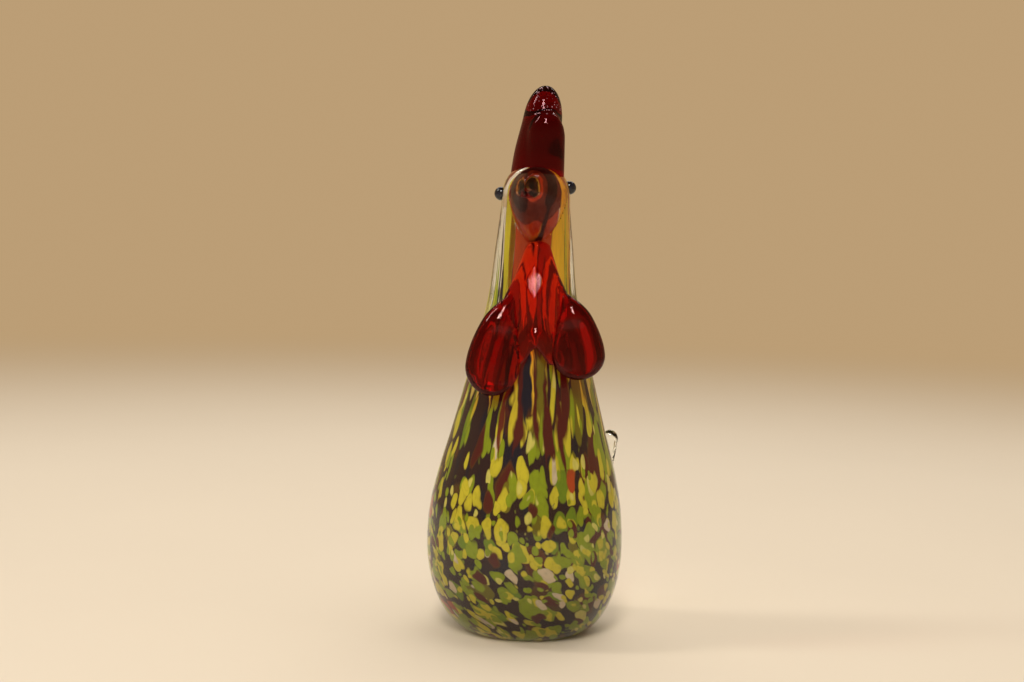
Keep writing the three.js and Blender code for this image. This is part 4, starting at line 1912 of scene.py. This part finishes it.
@dataclass
class Tail:
    """Clear gather on the back and the plumes drawn from it, each with its points and first half size."""

    height: float = 66.0
    radius: float = 17.0
    voxel: float = 0.6
    smoothing: int = 10
    plumes: tuple = (
        (((-1.5, 4.3, 6), (-2.5, 12.3, 24), (-3.5, 23.3, 38), (-4.5, 35.3, 41), (-5.5, 45.3, 33),
          (-6, 46.3, 21), (-6, 39.3, 15)), 8.6),
        (((7.5, 5.3, 1), (10.5, 17.3, 14), (13.5, 28.3, 22), (16.5, 39.3, 20), (19, 45.3, 11),
          (19, 42.3, 1), (17.5, 35.3, -2)), 8.0),
        (((-9.5, 3.3, -4), (-14.5, 13.3, 3), (-19.5, 24.3, 5), (-23.5, 33.3, -1), (-25, 35.3, -11),
          (-23.5, 29.3, -19), (-21, 22.3, -18)), 7.8),
        (((9.5, 2.3, -9), (16.5, 10.3, -16), (24.5, 17.3, -19), (31, 19.3, -13.5), (34.6, 16.8, -3.5),
          (36.6, 12.3, 9.8)), 8.2),
    )

    def plume(self, middle: Vector, path: Sequence[Sequence[float]], start: float) -> Bit:
        """One plume, tapering from the root to its rounded end.

        Args:
            middle: the middle of the root, from which its points are given.
            path: its points, as sideways, back and up.
            start: its half size where it begins.

        Returns:
            The plume.
        """
        points = [middle + Vector(point) for point in path]
        heading = points[-2] - points[0]
        heading.z = 0.0
        heading.normalize()
        across = Vector((heading.y, -heading.x, 0.0))
        width = even_run(start, 1.0, 0.92, 0.76, 0.56, 0.44)
        depth = even_run(start, 0.9, 0.7, 0.56, 0.44, 0.4)
        return Bit(points, width, depth, (0.05, 0.06), across, around=40, along=72)

    def root(self, gather: Gather) -> Bit:
        """Draws the bit on the back that the plumes are drawn from.

        Args:
            gather: what it sits on.

        Returns:
            The bit.
        """
        course = ((-0.35, -0.24), (0.18, 0.0), (0.65, 0.41))
        points = []
        for outward, up in course:
            point = gather.skin(self.height, math.pi, self.radius * outward)
            point.z = self.height + self.radius * up
            points.append(point)
        width = even_run(self.radius, 1.0, 0.88, 0.62)
        depth = even_run(self.radius, 1.0, 0.82, 0.56)
        return Bit(points, width, depth, (0.1, 0.5))

    def build(self, gather: Gather, seat: bmesh.types.BMesh, clear: bpy.types.Material) -> Pieces:
        """Makes the tail.

        Args:
            gather: what it sits on.
            seat: what it is cut by.
            clear: its glass.

        Returns:
            The tail.
        """
        middle = gather.skin(self.height, math.pi)
        shapes = [self.root(gather).shape()] + [self.plume(middle, *plume).shape() for plume in self.plumes]
        skin = cut(fused(shapes, self.voxel, self.smoothing), seat)
        nodes = ["tail_root", "tail_plume_high", "tail_plume_mid", "tail_plume_low", "tail_plume_side"]
        return [put_piece("tail", skin, clear, nodes)]


# Studio


@dataclass(frozen=True)
class Lamp:
    """A soft rectangular lamp: its place and size in metres, its power in watts, and whether it shows in
    what is shiny."""

    name: str
    place: tuple[float, float, float]
    size: tuple[float, float]
    power: float
    mirrored: bool = True
    colour: Colour = (1.0, 0.97, 0.92)

    def build(self, aim: Vector) -> None:
        """Hangs the lamp.

        Args:
            aim: the place that it is turned towards.
        """
        light = bpy.data.lights.new(self.name, "AREA")
        light.shape = "RECTANGLE"
        light.size, light.size_y = self.size
        light.energy = self.power
        light.color = self.colour
        lamp = bpy.data.objects.new(self.name, light)
        turn = (aim - Vector(self.place)).to_track_quat("-Z", "Y").to_matrix().to_4x4()
        lamp.matrix_world = Matrix.Translation(self.place) @ turn
        lamp.visible_transmission = False
        lamp.visible_glossy = self.mirrored
        bpy.context.scene.collection.objects.link(lamp)


@dataclass
class Studio:
    """Pale floor that fades into the room, soft lamps and the camera, in metres and degrees.

    The lamps are a high window, a weaker one at the left, a long strip behind and a soft ceiling. Dims
    are the upward parts of a line of sight between which the room fades to its overhead strength.
    """

    floor_colour: Colour = (0.78, 0.66, 0.51)
    floor_radius: float = 9.0
    room_colour: Colour = (0.50, 0.34, 0.18)
    light_colour: Colour = (0.42, 0.39, 0.35)
    overhead: float = 0.30
    dims: tuple[float, float] = (0.12, 0.75)
    clear_layers: int = 32
    aim: Vector = field(default_factory=lambda: Vector((0.0, 0.0, 0.12)))
    lamps: tuple[Lamp, ...] = (
        Lamp("window_high", (-0.12, -0.98, 1.30), (0.24, 0.44), 11.0),
        Lamp("window_left", (-0.95, -0.10, 1.20), (0.20, 0.50), 5.0),
        Lamp("strip", (-0.05, 0.90, 1.20), (1.80, 0.10), 6.0),
        Lamp("ceiling", (0.5, 0.1, 1.9), (1.6, 1.6), 15.0, mirrored=False),
    )
    eye: tuple[float, float, float] = (-0.0079, -0.685, 0.1747)
    looks_down: float = 4.8
    leans: float = 1.5
    focal_length: float = 60.0
    sensor_width: float = 36.0

    def floor(self) -> None:
        """A wide flat sheet that fades into the pale room far from the figure."""
        shape = bmesh.new()
        bmesh.ops.create_circle(shape, cap_ends=True, segments=96, radius=self.floor_radius)
        mesh = bpy.data.meshes.new("floor")
        shape.to_mesh(mesh)
        shape.free()
        mesh.materials.append(FloorFinish(self.floor_colour, self.room_colour).material())
        sheet = bpy.data.objects.new("floor", mesh)
        bpy.context.scene.collection.objects.link(sheet)

    def world(self) -> None:
        """A room that grows dim overhead, the same for the eye, for mirrorings and through glass."""
        world = bpy.data.worlds.new("room")
        bpy.context.scene.world = world
        shading = Shading(world)
        colour = shading.mix(self.light_colour, self.room_colour, shading.looked_at())
        _, _, up = shading.parts(shading.node("ShaderNodeTexCoord").out("Generated"))
        strength = up.faded(*self.dims, 1.0, self.overhead)
        room = shading.node("ShaderNodeBackground", {"Color": colour, "Strength": strength}).out()
        shading.node("ShaderNodeOutputWorld", {"Surface": room})

    def camera(self) -> None:
        """The camera where the photograph was taken from."""
        lens = bpy.data.cameras.new("camera")
        lens.lens = self.focal_length
        lens.sensor_width = self.sensor_width
        lens.clip_start = 0.01
        camera = bpy.data.objects.new("camera", lens)
        tilt = Matrix.Rotation(math.radians(90.0 - self.looks_down), 4, "X")
        roll = Matrix.Rotation(math.radians(self.leans), 4, "Z")
        camera.matrix_world = Matrix.Translation(self.eye) @ tilt @ roll
        bpy.context.scene.collection.objects.link(camera)
        bpy.context.scene.camera = camera

    def build(self) -> None:
        """Sets up the camera, the floor, the lamps and the room."""
        self.camera()
        self.floor()
        for lamp in self.lamps:
            lamp.build(self.aim)
        self.world()
        scene = bpy.context.scene
        scene.view_settings.view_transform = "Standard"
        scene.cycles.transparent_max_bounces = self.clear_layers


def main() -> None:
    """Builds the studio and the figure in order."""
    logging.basicConfig(level=logging.INFO, format="%(name)s: %(message)s")
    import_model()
    Studio().build()
    gather = Gather()
    clear = ClearFinish(Glass.CLEAR).material()
    smoky = {"haze": (0.58, 0.34, 0.36), "haze_size": 5.5, "haze_ends": (0.42, 0.62)}
    drawn_out = ClearFinish(Glass.BEAK, ripple=0.14, ripple_size=4.5, lines=0.05, **smoky).material()
    # Bubbles in the comb's top: pale dots, a painted glint, over glass tinted darker round them, a painted
    # shade.
    bubbles = Specks((3.4, -2.5, 214.0), 9.0)
    wine = ClearFinish(Glass.WINE, ripple=0.12, ripple_size=6.0, specks=bubbles).material()
    red = ClearFinish(Glass.RED, ripple=0.24, ripple_size=5.0, lines=0.05).material()
    kite = PressMark((0.2, 142.2), 3.9, 6.7, tilt=0.335, bulge_radius=20.3)
    bright = ClearFinish(Glass.BRIGHT, ripple=0.26, ripple_size=4.5, lines=0.05, marks=(kite,)).material()
    seat = gather.seat()
    pieces = gather.build(clear)
    pieces += Beak().build(seat, drawn_out)
    pieces += Comb().build(seat, wine)
    pieces += Wattles().build(gather, seat, red, bright)
    pieces += Tail().build(gather, seat, clear)
    weld(pieces)
    Eyes().build(gather, BeadFinish().material())
    seat.free()


if __name__ == "__main__":
    main()
